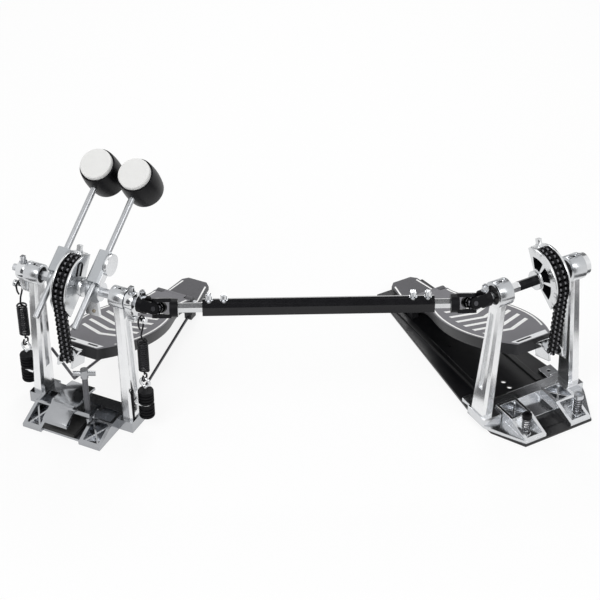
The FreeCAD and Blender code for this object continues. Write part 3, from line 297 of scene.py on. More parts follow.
def wire(place, path, radius, sides):
    """Points and faces of a round wire along a path of a pedal's own frame, closed at both ends."""
    path = [put(place, p) for p in path]
    points, faces = [], []
    side = None
    for i, here in enumerate(path):
        along = (path[min(i + 1, len(path) - 1)] - path[max(i - 1, 0)]).normalized()
        if side is None:
            side = along.orthogonal().normalized()
        side = (side - along * side.dot(along)).normalized()
        other = along.cross(side)
        for k in range(sides):
            a = 2 * math.pi * k / sides
            points.append(here + (side * math.cos(a) + other * math.sin(a)) * (radius * MM))
        if i:
            start = (i - 1) * sides
            for k in range(sides):
                n = (k + 1) % sides
                faces.append((start + k, start + n, start + sides + n, start + sides + k))
    last = (len(path) - 1) * sides
    faces.append(tuple(range(sides)))
    faces.append(tuple(last + k for k in range(sides)))
    return points, faces


def lathe(profile, steps):
    """Points and faces of a shape turned about z, from (radius, height) pairs that run from axis to axis."""
    points, faces = [], []
    for radius, height in profile:
        for k in range(steps):
            a = 2 * math.pi * k / steps
            points.append(Vector((radius * math.cos(a), radius * math.sin(a), height)))
    for i in range(len(profile) - 1):
        for k in range(steps):
            n = (k + 1) % steps
            faces.append((i * steps + k, i * steps + n, (i + 1) * steps + n, (i + 1) * steps + k))
    return points, faces


def joined(parts):
    """Several lists of points and faces as one."""
    points, faces = [], []
    for more_points, more_faces in parts:
        base = len(points)
        points += more_points
        faces += [tuple(base + i for i in face) for face in more_faces]
    return points, faces


def helix(x, y, low, radius, pitch, turns, per_turn=20):
    """A coil's path, rising from a height about an upright axis."""
    path = []
    for i in range(turns * per_turn + 1):
        a = 2 * math.pi * i / per_turn
        path.append(Vector((x + radius * math.cos(a), y + radius * math.sin(a), low + pitch * i / per_turn)))
    return path


def soft_path(points, steps=6):
    """A smooth run through points, each corner eased by its neighbours."""
    path = []
    for i in range(len(points) - 1):
        a, b = points[max(i - 1, 0)], points[i]
        c, d = points[i + 1], points[min(i + 2, len(points) - 1)]
        for k in range(steps):
            t = k / steps
            bend = (2 * a - 5 * b + 4 * c - d) * t ** 2 + (3 * b - a - 3 * c + d) * t ** 3
            path.append(0.5 * (2 * b + (c - a) * t + bend))
    return path + [points[-1]]


# Places of the two pedals and of the shaft between them

UP = Vector((0, 0, 1))
ACROSS = Vector((1, 0, 0))
MAIN_PEDAL = Matrix.Rotation(math.radians(MAIN_YAW), 4, "Z")
SLAVE_PEDAL = (Matrix.Translation(Vector(SLAVE_PLACE) * MM)
               @ Matrix.Rotation(math.radians(SLAVE_YAW), 4, "Z"))
PEDALS = {"main": MAIN_PEDAL, "slave": SLAVE_PEDAL}
SIDES = {"left": -1, "right": 1}
MAIN_JOINT = put(MAIN_PEDAL, (MAIN_JOINT_X, 0, AXLE_HEIGHT))
SLAVE_JOINT = put(SLAVE_PEDAL, (SLAVE_JOINT_X, 0, AXLE_HEIGHT))
SHAFT = (SLAVE_JOINT - MAIN_JOINT).normalized()
SHAFT_YAW = math.atan2(SHAFT.y, SHAFT.x)


# Node trees and their sums


class Value:
    """A socket that takes arithmetic, each sign adding one Math node."""

    def __init__(self, graph, socket):
        self.graph = graph
        self.socket = socket

    def math(self, operation, *others):
        terms = dict(enumerate((self, *others)))
        return self.graph.node("ShaderNodeMath", {"operation": operation}, terms).out()

    def __add__(self, other):
        return self.math("ADD", other)

    def __sub__(self, other):
        return self.math("SUBTRACT", other)

    def __mul__(self, other):
        return self.math("MULTIPLY", other)

    def __rsub__(self, other):
        return self.graph.node("ShaderNodeMath", {"operation": "SUBTRACT"}, {0: other, 1: self}).out()

    def __gt__(self, other):
        return self.math("GREATER_THAN", other)

    def __lt__(self, other):
        return self.math("LESS_THAN", other)

    __radd__ = __add__
    __rmul__ = __mul__


class Node:
    """A node whose outputs come out as values."""

    def __init__(self, graph, node):
        self.graph = graph
        self.node = node

    def out(self, name=0):
        return Value(self.graph, self.node.outputs[name])


class Graph:
    """A node tree under construction."""

    def __init__(self, group):
        self.group = group

    def node(self, kind, settings=None, inputs=None):
        """A node with its settings made first, and then its sockets fed."""
        made = self.group.nodes.new(kind)
        for key, value in (settings or {}).items():
            setattr(made, key, value)
        for key, value in (inputs or {}).items():
            for item in value if isinstance(value, list) else [value]:
                self.feed(made.inputs[key], item)
        return Node(self, made)

    def feed(self, socket, value):
        if isinstance(value, Value):
            self.group.links.new(value.socket, socket)
        else:
            socket.default_value = value

    def seen(self):
        """1 for rays from the camera, in reflections and through glass, and 0 for light."""
        path = self.node("ShaderNodeLightPath")
        rays = path.out("Is Camera Ray") + path.out("Is Glossy Ray") + path.out("Is Transmission Ray")
        return rays.math("MINIMUM", 1.0)


class Look(Graph):
    """A finish under construction, with one principled shader."""

    def __init__(self, name):
        self.material = bpy.data.materials.new(name)
        self.material.use_nodes = True
        super().__init__(self.material.node_tree)
        self.group.nodes.clear()
        self.shader = self.node("ShaderNodeBsdfPrincipled")
        self.end = self.node("ShaderNodeOutputMaterial")
        self.surface(self.shader)

    def set(self, **inputs):
        for key, value in inputs.items():
            self.feed(self.shader.node.inputs[key.replace("_", " ")], value)

    def surface(self, made):
        """Makes a node's shader the one that the finish ends in."""
        self.feed(self.end.node.inputs["Surface"], made.out())

    def place(self):
        return self.node("ShaderNodeTexCoord").out("Object")

    def vector(self, operation, first, second):
        return self.node("ShaderNodeVectorMath", {"operation": operation}, {0: first, 1: second})

    def along(self, axis, origin):
        """Distance of each point from a plane through the origin, square to an axis."""
        offset = self.vector("SUBTRACT", self.place(), tuple(origin)).out()
        return self.vector("DOT_PRODUCT", offset, tuple(axis)).out("Value")

    def span(self, origin):
        """Distance of each point from a place."""
        return self.vector("DISTANCE", self.place(), tuple(origin)).out("Value")

    def noise(self, scale, detail=2.0, rough=0.5):
        sockets = {"Vector": self.place(), "Scale": scale, "Detail": detail, "Roughness": rough}
        return self.node("ShaderNodeTexNoise", None, sockets).out("Fac")

    def mix(self, factor, first, second):
        made = self.node("ShaderNodeMix", {"data_type": "RGBA"}, {0: factor, 6: first, 7: second})
        return made.out(2)

    def patches(self, value, low, high):
        """Black where a value is under low, white where it is over high."""
        made = self.node("ShaderNodeValToRGB", None, {"Fac": value})
        for stop, place in zip(made.node.color_ramp.elements, (low, high)):
            stop.position = place
        return made.out("Color")

    def bump(self, height, strength, distance):
        sockets = {"Height": height, "Strength": strength, "Distance": distance}
        self.set(Normal=self.node("ShaderNodeBump", None, sockets).out("Normal"))


def rgb(red, green, blue):
    """An opaque colour."""
    return (red, green, blue, 1.0)


# Masks that part two finishes on one piece


def beyond(axis, origin):
    """Mask of what lies past a plane through a place, square to an axis."""
    return lambda look: look.along(axis, origin) > 0.0


def at_height(height):
    """A place on the upright axis, from a height in millimetres."""
    return UP * (height * MM)


def post_head(look):
    """Mask of a post, rising to 1 over its bearing head."""
    climb = look.along(UP, at_height(AXLE_HEIGHT - HEAD_FADE)) * (0.5 / (HEAD_FADE * MM))
    return climb.math("MAXIMUM", 0.0).math("MINIMUM", 1.0)


def outside_sleeve(look):
    """Mask of the slave axle, 0 along its black sleeve."""
    along = look.along(SLAVE_PEDAL.to_3x3() @ ACROSS, put(SLAVE_PEDAL, (0, 0, AXLE_HEIGHT)))
    return 1.0 - (along > AXLE_SLEEVE[0] * MM) * (along < AXLE_SLEEVE[1] * MM)


def disc_and_apron(look):
    """Mask of the second holder, 1 on its disc and its apron."""
    disc = look.along(MAIN_PEDAL.to_3x3() @ ACROSS, (0, 0, 0)) > DISC_X * MM
    apron = look.along(UP, at_height(AXLE_HEIGHT - APRON_START)) < 0.0
    return disc.math("MAXIMUM", apron)


def cam_faces(pedal):
    """Mask of a cam, 0 inside its three windows."""
    place = PEDALS[pedal]
    origin = put(place, (CAM_X[pedal], 0, AXLE_HEIGHT))
    axis = place.to_3x3() @ ACROSS

    def mask_of(look):
        across = look.along(axis, origin)
        reach = look.span(origin)
        radius = (reach * reach - across * across).math("SQRT")
        front = (MASK_MARGIN - CAM_HALF_WIDTH) * MM
        back = (CAM_HALF_WIDTH - CAM_WEB + MASK_MARGIN) * MM
        deep = (across > front) * (across < back)
        inner = (CAM_WINDOW_INNER - RING_MARGIN) * MM
        outer = (CAM_WINDOW_OUTER + RING_MARGIN) * MM
        ring = (radius > inner) * (radius < outer)
        return 1.0 - deep * ring
    return mask_of


# Finishes

SATIN_BLACK = rgb(0.005, 0.005, 0.006)
BRIGHT_PLATE = rgb(0.74, 0.75, 0.76)
HEAD_GREY = rgb(0.42, 0.435, 0.455)
TREAD_FACING = 0.85


def metal(name, colour, dull, rough, spread, grain, wave=0.0, fade=None):
    """Bare or plated metal, its shine broken by faint handling marks and, on a casting, by slow waves."""
    look = Look(name)
    cloud = look.noise(60.0, 3.0)
    fine = look.noise(grain, 4.0, 0.7)
    height = fine * 0.02
    if wave:
        height = height + look.noise(38.0, 1.0) * wave
    tone = look.mix(cloud * 0.5, colour, dull)
    if fade:
        tone = look.mix(fade(look), tone, HEAD_GREY)
    look.set(Base_Color=tone, Metallic=1.0, Roughness=rough + spread * cloud + 0.5 * spread * fine)
    look.bump(height, 1.0, 0.001)
    return look.material


def black_paint(name, colour, edge, rough, shine=0.1):
    """Satin black paint with a fine orange-peel and a few grey scuffs."""
    look = Look(name)
    peel = look.noise(1500.0, 2.0)
    worn = look.patches(look.noise(140.0, 6.0, 0.7), 0.62, 0.74)
    look.set(Base_Color=look.mix(worn, colour, edge), Roughness=rough + 0.12 * look.noise(90.0, 3.0),
             Specular_IOR_Level=shine)
    look.bump(peel, 0.08, 0.0003)
    return look.material


def two_tone(name, mask_of, dark=SATIN_BLACK, bright=BRIGHT_PLATE, shine=0.1, rough=0.3):
    """Satin dark paint that gives way to bright plated metal where the mask is 1."""
    look = Look(name)
    plated = mask_of(look)
    cloud = look.noise(80.0, 3.0)
    peel = look.noise(1500.0, 2.0)
    paint = look.mix(cloud * 0.4, dark, rgb(0.012, 0.012, 0.014))
    dull = rgb(*(0.77 * level for level in bright[:3]))
    plate = look.mix(cloud * 0.5, bright, dull)
    look.set(Base_Color=look.mix(plated, paint, plate), Metallic=plated,
             Roughness=rough - 0.14 * plated + 0.1 * cloud, Specular_IOR_Level=shine)
    look.bump(peel, 0.06, 0.0003)
    return look.material


def holder_metal(name, mask_of):
    """Satin grey alloy, with bright plating where the mask is 1."""
    look = Look(name)
    bright = mask_of(look)
    cloud = look.noise(60.0, 3.0)
    fine = look.noise(1200.0, 4.0, 0.7)
    grey = look.mix(cloud * 0.5, rgb(0.40, 0.415, 0.43), rgb(0.31, 0.325, 0.345))
    plate = look.mix(cloud * 0.5, rgb(0.82, 0.83, 0.84), rgb(0.66, 0.67, 0.69))
    look.set(Base_Color=look.mix(bright, grey, plate), Metallic=1.0,
             Roughness=0.38 - 0.18 * bright + 0.1 * cloud)
    look.bump(fine, 0.04, 0.0004)
    return look.material


def grip_coat(name, depth):
    """Grey grip coat on the tread and black paint on the skirt, told apart by which way a face looks."""
    def tone(level):
        return rgb(depth * level, depth * level * 0.985, depth * level * 1.07)
    look = Look(name)
    facing = look.node("ShaderNodeNewGeometry").out("Normal")
    tread = look.node("ShaderNodeSeparateXYZ", None, {0: facing}).out("Z") > TREAD_FACING
    speck = look.noise(2600.0, 2.0, 0.6)
    shade = look.noise(35.0, 3.0)
    grey = look.mix(speck, tone(0.074), tone(0.146))
    grey = look.mix(shade * 0.4, grey, tone(0.125))
    look.set(Base_Color=look.mix(tread, rgb(0.012, 0.012, 0.014), grey),
             Roughness=0.38 + 0.25 * tread + 0.1 * shade)
    look.bump(speck * tread, 0.25, 0.0004)
    return look.material


def white_print():
    """White print, a little worn."""
    look = Look("white_print")
    wear = look.noise(420.0, 5.0, 0.7)
    thin = look.patches(wear, 0.66, 0.78)
    look.set(Base_Color=look.mix(thin, rgb(0.86, 0.86, 0.85), rgb(0.55, 0.55, 0.55)),
             Roughness=0.4 + 0.15 * wear)
    return look.material


def white_felt():
    """Pressed white wool, matt and finely hairy."""
    look = Look("white_felt")
    hair = look.noise(1900.0, 6.0, 0.75)
    blot = look.noise(110.0, 3.0)
    look.set(Base_Color=look.mix(hair * 0.6 + blot * 0.3, rgb(0.80, 0.80, 0.79), rgb(0.66, 0.66, 0.65)),
             Roughness=0.88 + 0.1 * hair, Sheen_Weight=0.25)
    look.bump(hair, 0.35, 0.0006)
    return look.material


def black_rubber():
    """Matt black rubber."""
    look = Look("black_rubber")
    grain = look.noise(900.0, 4.0, 0.6)
    look.set(Base_Color=look.mix(grain, rgb(0.012, 0.012, 0.012), rgb(0.03, 0.03, 0.03)),
             Roughness=0.62 + 0.2 * grain)
    look.bump(grain, 0.2, 0.0004)
    return look.material


chrome = metal("chrome_plate", BRIGHT_PLATE, rgb(0.56, 0.575, 0.60), 0.06, 0.07, 700.0, 0.4)
casting = metal("plated_casting", rgb(0.72, 0.73, 0.745), rgb(0.48, 0.495, 0.52), 0.12, 0.10, 500.0, 0.9)
post_casting = metal("plated_post", rgb(0.90, 0.905, 0.91), rgb(0.72, 0.73, 0.75), 0.16, 0.10, 500.0, 0.5,
                     post_head)
# The main base and the clamp jaw take a darker copy of the plated casting: the darker colour is painted shade,
# standing for the dark surroundings that their faces reflect.
shaded_base_casting = metal("plated_base", rgb(0.42, 0.43, 0.445), rgb(0.25, 0.26, 0.28), 0.10, 0.10, 500.0, 1.0)
zinc = metal("bright_zinc", rgb(0.64, 0.65, 0.67), rgb(0.46, 0.48, 0.51), 0.2, 0.12, 900.0)
satin = metal("satin_alloy", rgb(0.38, 0.395, 0.41), rgb(0.29, 0.305, 0.325), 0.36, 0.1, 1200.0)
rod_steel = metal("rod_steel", rgb(0.46, 0.47, 0.485), rgb(0.34, 0.35, 0.37), 0.24, 0.1, 900.0)
oxide = metal("black_oxide", rgb(0.008, 0.008, 0.009), rgb(0.022, 0.022, 0.024), 0.3, 0.15, 800.0)
spring_black = metal("oiled_spring_wire", rgb(0.02, 0.02, 0.022), rgb(0.05, 0.05, 0.055), 0.28, 0.12, 900.0)
# The chain's rollers and pins take a lighter steel than its plates: the lighter colour is a painted highlight.
roller_steel = metal("roller_steel", rgb(0.19, 0.19, 0.20), rgb(0.08, 0.08, 0.09), 0.26, 0.12, 900.0)
key_steel = metal("key_screw_plate", rgb(0.55, 0.56, 0.575), rgb(0.34, 0.35, 0.37), 0.12, 0.1, 900.0)
thread_steel = metal("dark_thread_steel", rgb(0.24, 0.245, 0.26), rgb(0.12, 0.12, 0.13), 0.24, 0.12, 900.0)
wire_steel = metal("dark_wire_steel", rgb(0.12, 0.12, 0.13), rgb(0.06, 0.06, 0.065), 0.2, 0.1, 900.0)
brass = metal("brass_screw", rgb(0.33, 0.29, 0.23), rgb(0.23, 0.20, 0.16), 0.3, 0.12, 900.0)
black = black_paint("satin_black", rgb(0.006, 0.006, 0.007), rgb(0.03, 0.03, 0.034), 0.28)
plate_black = black_paint("plate_black", rgb(0.004, 0.004, 0.005), rgb(0.009, 0.009, 0.010), 0.24, 0.5)
shell_black = black_paint("barrel_black", rgb(0.004, 0.004, 0.005), rgb(0.018, 0.018, 0.018), 0.3, 0.13)
board_coat = grip_coat("board_coat", 1.38)
heel_coat = grip_coat("heel_coat", 0.75)
white = white_print()
wool = white_felt()
gum = black_rubber()
TUBE_TOP = at_height(AXLE_HEIGHT + TUBE_FLATS / math.sqrt(3) + MASK_MARGIN)
tube_paint = two_tone("tube_paint", beyond(UP, TUBE_TOP), shine=0.34, rough=0.15)
main_fork_paint = two_tone("main_fork_paint", beyond(SHAFT, MAIN_JOINT + SHAFT * YOKE_END * MM))
slave_fork_paint = two_tone("slave_fork_paint", beyond(-SHAFT, SLAVE_JOINT - SHAFT * YOKE_END * MM))
bolt_paint = two_tone("clamp_bolt_plate", beyond(UP, at_height(CLAMP_NECK)),
                      rgb(0.10, 0.10, 0.11), rgb(0.40, 0.41, 0.425))
screw_paint = two_tone("black_headed_screw", beyond(-UP, at_height(ANCHOR_HEAD_LOW)))
axle_plate = two_tone("slave_axle_plate", outside_sleeve)
second_holder_metal = holder_metal("second_holder_metal", disc_and_apron)
main_cam_plate = two_tone("main_cam_plate", cam_faces("main"))
slave_cam_plate = two_tone("slave_cam_plate", cam_faces("slave"))


def on_both(*words):
    """Names of the solids that both pedals have."""
    return [pedal + "_" + word for pedal in PEDALS for word in words]


FINISHES = {
    post_casting: on_both("left_post", "right_post"),
    casting: ["slave_base"],
    shaded_base_casting: ["main_base", "clamp_jaw"],
    main_cam_plate: ["main_cam"],
    slave_cam_plate: ["slave_cam"],
    bolt_paint: ["clamp_bolt"],
    rod_steel: ["first_rod", "second_rod"],
    chrome: on_both("chain_bracket") + ["spring_eyebolts", "left_rocker", "right_rocker"],
    zinc: on_both("hinge_pin") + ["main_axle", "second_axle", "right_anchor_screw"],
    axle_plate: ["slave_axle"],
    screw_paint: ["left_anchor_screw"],
    tube_paint: ["shaft_tube"],
    main_fork_paint: ["main_shaft_yoke"],
    slave_fork_paint: ["slave_shaft_yoke"],
    black: on_both("bearings", "yoke") + ["tension_nuts"],
    wire_steel: on_both("cross") + ["stabilizer_wire"],
    plate_black: ["slave_plate"],
    oxide: on_both(*CHAIN_WORDS),
    board_coat: on_both("footboard"),
    heel_coat: on_both("heel_plate"),
    gum: ["rubber_feet"],
    wool: ["first_felt", "second_felt"],
    shell_black: ["first_head", "second_head"],
    satin: ["first_holder"],
    second_holder_metal: ["second_holder"],
    spring_black: ["left_spring", "right_spring", "left_spring_hook", "right_spring_hook", "anchor_springs"],
}
# Rounding in millimetres, for edges that turn by more than SHARP_ANGLE degrees
EDGES = {
    1.0: on_both("base", "left_post", "right_post", "footboard")
    + ["clamp_jaw", "first_holder", "second_holder"],
    0.5: on_both("cam", "chain_bracket", "heel_plate")
    + ["left_rocker", "right_rocker", "clamp_bolt", "slave_plate", "shaft_tube"],
}
SHARP_ANGLE = 38.0
WELD_REACH = 0.01


def dress_solids():
    """Gives each solid its finish, and the larger ones rounded edges."""
    for finish, names in FINISHES.items():
        for name in names:
            for slot in nodes[name].material_slots:
                slot.link = "OBJECT"
                slot.material = finish
    for width, names in EDGES.items():
        for name in names:
            weld = nodes[name].modifiers.new("joined_corners", "WELD")
            weld.merge_threshold = WELD_REACH * MM
            round_edge = nodes[name].modifiers.new("rounded_edges", "BEVEL")
            round_edge.width = width * MM
            round_edge.segments = 2
            round_edge.limit_method = "ANGLE"
            round_edge.angle_limit = math.radians(SHARP_ANGLE)


# Geometry trees


class Tree(Graph):
    """A geometry tree under construction, with named sizes."""

    def __init__(self, name, sizes):
        super().__init__(bpy.data.node_groups.new(name, "GeometryNodeTree"))
        face = self.group.interface
        face.new_socket("Geometry", in_out="INPUT", socket_type="NodeSocketGeometry")
        self.sockets = {}
        for key, value in sizes.items():
            socket = face.new_socket(key, in_out="INPUT", socket_type="NodeSocketFloat")
            socket.default_value = value * MM
            self.sockets[key] = socket.identifier
        face.new_socket("Geometry", in_out="OUTPUT", socket_type="NodeSocketGeometry")
        self.start = self.node("NodeGroupInput")
        self.end = self.node("NodeGroupOutput")

    def size(self, key):
        return self.start.out(key)

    def add(self, kind, inputs, settings=None):
        """The first output of a new node."""
        return self.node(kind, settings, inputs).out()

    def vector(self, x, y, z):
        return self.add("ShaderNodeCombineXYZ", {0: x, 1: y, 2: z})

    def drum(self, radius, depth, sides):
        return self.add("GeometryNodeMeshCylinder", {"Vertices": sides, "Radius": radius, "Depth": depth})

    def move(self, shape, offset, turn=(0.0, 0.0, 0.0)):
        return self.add("GeometryNodeTransform", {"Geometry": shape, "Translation": offset, "Rotation": turn})

    def box(self, x, y, z):
        return self.add("GeometryNodeMeshCube", {"Size": self.vector(x, y, z)})

    def join(self, shapes):
        return self.add("GeometryNodeJoinGeometry", {0: shapes})

    def attribute(self, name, kind):
        return self.add("GeometryNodeInputNamedAttribute", {"Name": name}, {"data_type": kind})

    def tag(self, shape):
        """Marks the faces of a shape, so that they take the second finish."""
        sockets = {"Geometry": shape, "Name": "second", "Value": True}
        settings = {"data_type": "BOOLEAN", "domain": "FACE"}
        return self.add("GeometryNodeStoreNamedAttribute", sockets, settings)

    def scatter(self, shape, first, second=None):
        """Sets a shape on every place, and ends the tree with its finishes."""
        turn = self.attribute("spin", "FLOAT_VECTOR")
        shape = self.add("GeometryNodeInstanceOnPoints",
                         {"Points": self.start.out("Geometry"), "Instance": shape, "Rotation": turn})
        shape = self.add("GeometryNodeRealizeInstances", {0: shape})
        shape = self.add("GeometryNodeSetMaterial", {"Geometry": shape, "Material": first})
        if second:
            tagged = self.attribute("second", "BOOLEAN")
            shape = self.add("GeometryNodeSetMaterial",
                             {"Geometry": shape, "Selection": tagged, "Material": second})
        self.feed(self.end.node.inputs[0], shape)


def grow(name, tree, places, spins, sizes=None):
    """Runs a tree on a set of places and returns a plain mesh object."""
    seed_mesh = bpy.data.meshes.new(name + "_places")
    seed_mesh.from_pydata([tuple(p) for p in places], [], [])
    spin = seed_mesh.attributes.new("spin", "FLOAT_VECTOR", "POINT")
    spin.data.foreach_set("vector", [c for s in spins for c in s])
    seed = bpy.data.objects.new(name + "_places", seed_mesh)
    bpy.context.scene.collection.objects.link(seed)
    modifier = seed.modifiers.new("grow", "NODES")
    modifier.node_group = tree.group
    for key, value in (sizes or {}).items():
        modifier[tree.sockets[key]] = value * MM
    graph = bpy.context.evaluated_depsgraph_get()
    mesh = bpy.data.meshes.new_from_object(seed.evaluated_get(graph))
    mesh.name = name
    seed.modifiers.remove(modifier)
    bpy.data.objects.remove(seed)
    body = bpy.data.objects.new(name, mesh)
    bpy.context.scene.collection.objects.link(body)
    return body


# Chains


def at_both_pins(tree, radius, length, x, sides):
    """A drum across the chain at each end of a link."""
    drum = tree.move(tree.drum(radius, length, sides), (0.0, 0.0, 0.0), (0.0, math.pi / 2, 0.0))
    ends = [tree.size("Pitch") * share for share in (0.5, -0.5)]
    return [tree.move(drum, tree.vector(x, end, 0.0)) for end in ends]


def link_plate(tree, x):
    """A waisted plate around two pins, at a place across the chain."""
    height = tree.size("Plate height")
    thickness = tree.size("Plate thickness")
    ends = at_both_pins(tree, height * 0.5, thickness, x, 14)
    waist = tree.box(thickness, tree.size("Pitch"), height * PLATE_WAIST)
    return tree.join(ends + [tree.move(waist, tree.vector(x, 0.0, 0.0))])


def cross_pins(tree, radius, x, length):
    """A pair of pins or rollers, one at each end of a link, lighter than the plates as a painted highlight."""
    return tree.tag(tree.join(at_both_pins(tree, radius, length, x, 12)))


def link_tree(name, outer):
    """Geometry tree of a double roller chain's outer or inner links."""
    tree = Tree(name, {"Pitch": CHAIN_PITCH, "Plate height": PLATE_HEIGHT, "Plate thickness": PLATE_THICKNESS,
                       "Roller radius": ROLLER_RADIUS, "Pin radius": PIN_RADIUS})
    shapes = [link_plate(tree, x * MM) for x in (OUTER_PLATES if outer else INNER_PLATES)]
    if outer:
        shapes.append(cross_pins(tree, tree.size("Pin radius"), 0.0, CHAIN_WIDTH * MM))
    else:
        shapes += [cross_pins(tree, tree.size("Roller radius"), x * MM, ROLLER_LENGTH * MM) for x in ROLLER_X]
    # The second finish, on the pins and rollers, is a painted highlight.
    tree.scatter(tree.join(shapes), oxide, roller_steel)
    return tree


def chain_pins(x):
    """Pin places from the cam's clip to the toe, in the pedal's own frame."""
    step = 2 * math.degrees(math.asin(CHAIN_PITCH / 2 / CHAIN_RADIUS))
    wrapped = sum(CHAIN_STRETCHES[:3])
    pins = []
    for i in range(wrapped + 1):
        a = math.radians(CHAIN_LIFT - (wrapped - i) * step)
        pins.append(Vector((x, -CHAIN_RADIUS * math.sin(a), AXLE_HEIGHT + CHAIN_RADIUS * math.cos(a))))
    a = math.radians(CHAIN_LIFT)
    down = Vector((0, -math.cos(a), -math.sin(a)))
    return pins + [pins[-1] + down * CHAIN_PITCH * (i + 1) for i in range(CHAIN_STRETCHES[3])]


def lay_chain(pedal, axle_body, trees):
    """Links of one pedal's chain, a piece for each stretch that bends."""
    place = PEDALS[pedal]
    pins = chain_pins(CAM_X[pedal])
    yaw = place.to_euler().z
    riders = [axle_body] + [pedal + "_" + word + "_body" for word in CHAIN_WORDS[1:]]
    first = 0
    for count, word, rider in zip(CHAIN_STRETCHES, CHAIN_WORDS, riders):
        made = []
        for parity, tree in enumerate(trees):
            pairs = [(pins[i], pins[i + 1]) for i in range(first, first + count) if i % 2 == parity]
            spots = [put(place, (a + b) / 2) for a, b in pairs]
            spins = [(math.atan2((b - a).z, (b - a).y), 0.0, yaw) for a, b in pairs]
            made.append(grow(pedal + "_" + word + "_links_" + ("inner", "outer")[parity], tree, spots, spins))
        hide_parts(pedal + "_" + word)
        for links in made:
            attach(links, rider)
        first += count


# Square-head key screws and knurled nuts


def screw_tree():
    """A square-head screw on a round flange, standing along z."""
    tree = Tree("key_screws", {"Square": KEY_SQUARE, "Head": KEY_HEAD,
                               "Flange radius": KEY_FLANGE_RADIUS, "Flange": KEY_FLANGE})
    square, head = tree.size("Square"), tree.size("Head")
    post = tree.move(tree.drum(square * math.sqrt(0.5), head, 4),
                     tree.vector(0.0, 0.0, head * 0.5), (0.0, 0.0, math.pi / 4))
    flange = tree.drum(tree.size("Flange radius"), tree.size("Flange"), 24)
    neck = tree.move(tree.drum(square * KEY_NECK_RADIUS, head * KEY_NECK_LENGTH, 12),
                     tree.vector(0.0, 0.0, head * KEY_NECK_PLACE))
    tree.scatter(tree.join([post, flange, neck]), key_steel)
    return tree


def set_screws(tree):
    """The square-head screws of the shaft's tube, the rockers and the yokes."""
    shaft_place = Matrix.Translation((MAIN_JOINT.x, MAIN_JOINT.y, 0)) @ Matrix.Rotation(SHAFT_YAW, 4, "Z")
    first = TUBE_START + TUBE_SCREW_INSET
    last = TUBE_START + TUBE_LENGTH - TUBE_SCREW_INSET
    along = (first, first + TUBE_SCREW_STEP, last - TUBE_SCREW_STEP, last)
    rocker = MAIN_HEAD_X + HEAD_WIDTH / 2 + ROCKER_SCREW_GAP
    rocker_top = AXLE_HEIGHT + ROCKER_RADIUS
    yoke_top = AXLE_HEIGHT + YOKE_SCREW_HEIGHT
    rows = {
        "shaft_body": [put(shaft_place, (x, 0, AXLE_HEIGHT + TUBE_FLATS / 2)) for x in along],
        "first_axle_body": [put(MAIN_PEDAL, (-rocker, 0, rocker_top))],
        "second_axle_body": [put(MAIN_PEDAL, (rocker, 0, rocker_top)),
                             put(MAIN_PEDAL, (MAIN_JOINT_X - YOKE_SCREW_INSET, 0, yoke_top))],
        "slave_axle_body": [put(SLAVE_PEDAL, (SLAVE_JOINT_X + YOKE_SCREW_INSET, 0, yoke_top))],
    }
    for rider, places in rows.items():
        spins = [(0.0, 0.0, KEY_TURN)] * len(places)
        screws = grow(rider.replace("_body", "") + "_key_screws", tree, places, spins)
        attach(screws, rider)


def knurl_tree():
    """Straight knurling: ribs round a nut, grown on a ring of places."""
    tree = Tree("knurling", {"Rib width": KNURL_WIDTH, "Rib depth": KNURL_DEPTH,
                             "Rib length": NUT_HEIGHT / KNURL_BANDS})
    rib = tree.box(tree.size("Rib depth"), tree.size("Rib width"), tree.size("Rib length"))
    tree.scatter(rib, black)
    return tree


def knurl_nuts(tree):
    """Ribs on the bands of each tension nut, with a groove between two bands."""
    places, spins = [], []
    yaw = MAIN_PEDAL.to_euler().z
    for side in SIDES.values():
        for low in (LUG_LOW - NUT_HEIGHT, LUG_LOW + LUG_THICKNESS):
            for band in range(KNURL_BANDS):
                z = low + NUT_HEIGHT * (band + 0.5) / KNURL_BANDS
                for k in range(KNURL_RIBS):
                    a = 2 * math.pi * k / KNURL_RIBS
                    spot = (side * SPRING_X + NUT_RADIUS * math.cos(a), NUT_RADIUS * math.sin(a), z)
                    places.append(put(MAIN_PEDAL, spot))
                    spins.append((0.0, 0.0, a + yaw))
    ribs = grow("tension_nut_knurl", tree, places, spins, {"Rib length": KNURL_LENGTH})
    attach(ribs, "main_frame")


# Small fittings


def clamp_thread():
    """The rolled thread of the clamp's T-bolt."""
    turns = int((CLAMP_NECK - CLAMP_LOW - 2 * THREAD_INSET) / THREAD_PITCH)
    low, radius = CLAMP_LOW + THREAD_INSET, CLAMP_RADIUS - THREAD_SINK
    path = helix(CLAMP_X, CLAMP_Y, low, radius, THREAD_PITCH, turns, 16)
    thread = wire(MAIN_PEDAL, path, THREAD_WIRE, 6)
    fitted("clamp_bolt_thread", thread, thread_steel, "clamp_bolt_body")


def cam_keeper():
    """A bent wire keeper on the outer face of the main cam."""
    half, foot = KEEPER_HALF, -KEEPER_LENGTH / 2
    bend = [Vector((0, half * math.sin(a), half * math.cos(a) - foot)) for a in sweep(-90, 90)]
    path = [Vector((0, -half, foot))] + bend + [Vector((0, half, foot))]
    middle = Vector((CAM_X["main"] + CAM_HALF_WIDTH, 0, AXLE_HEIGHT)) + Vector(KEEPER_OFFSET)
    lean = Matrix.Rotation(math.radians(KEEPER_LEAN), 4, "X")
    keeper = wire(MAIN_PEDAL, [lean @ p + middle for p in path], KEEPER_WIRE, 8)
    fitted("cam_keeper_wire", keeper, oxide, "first_axle_body")


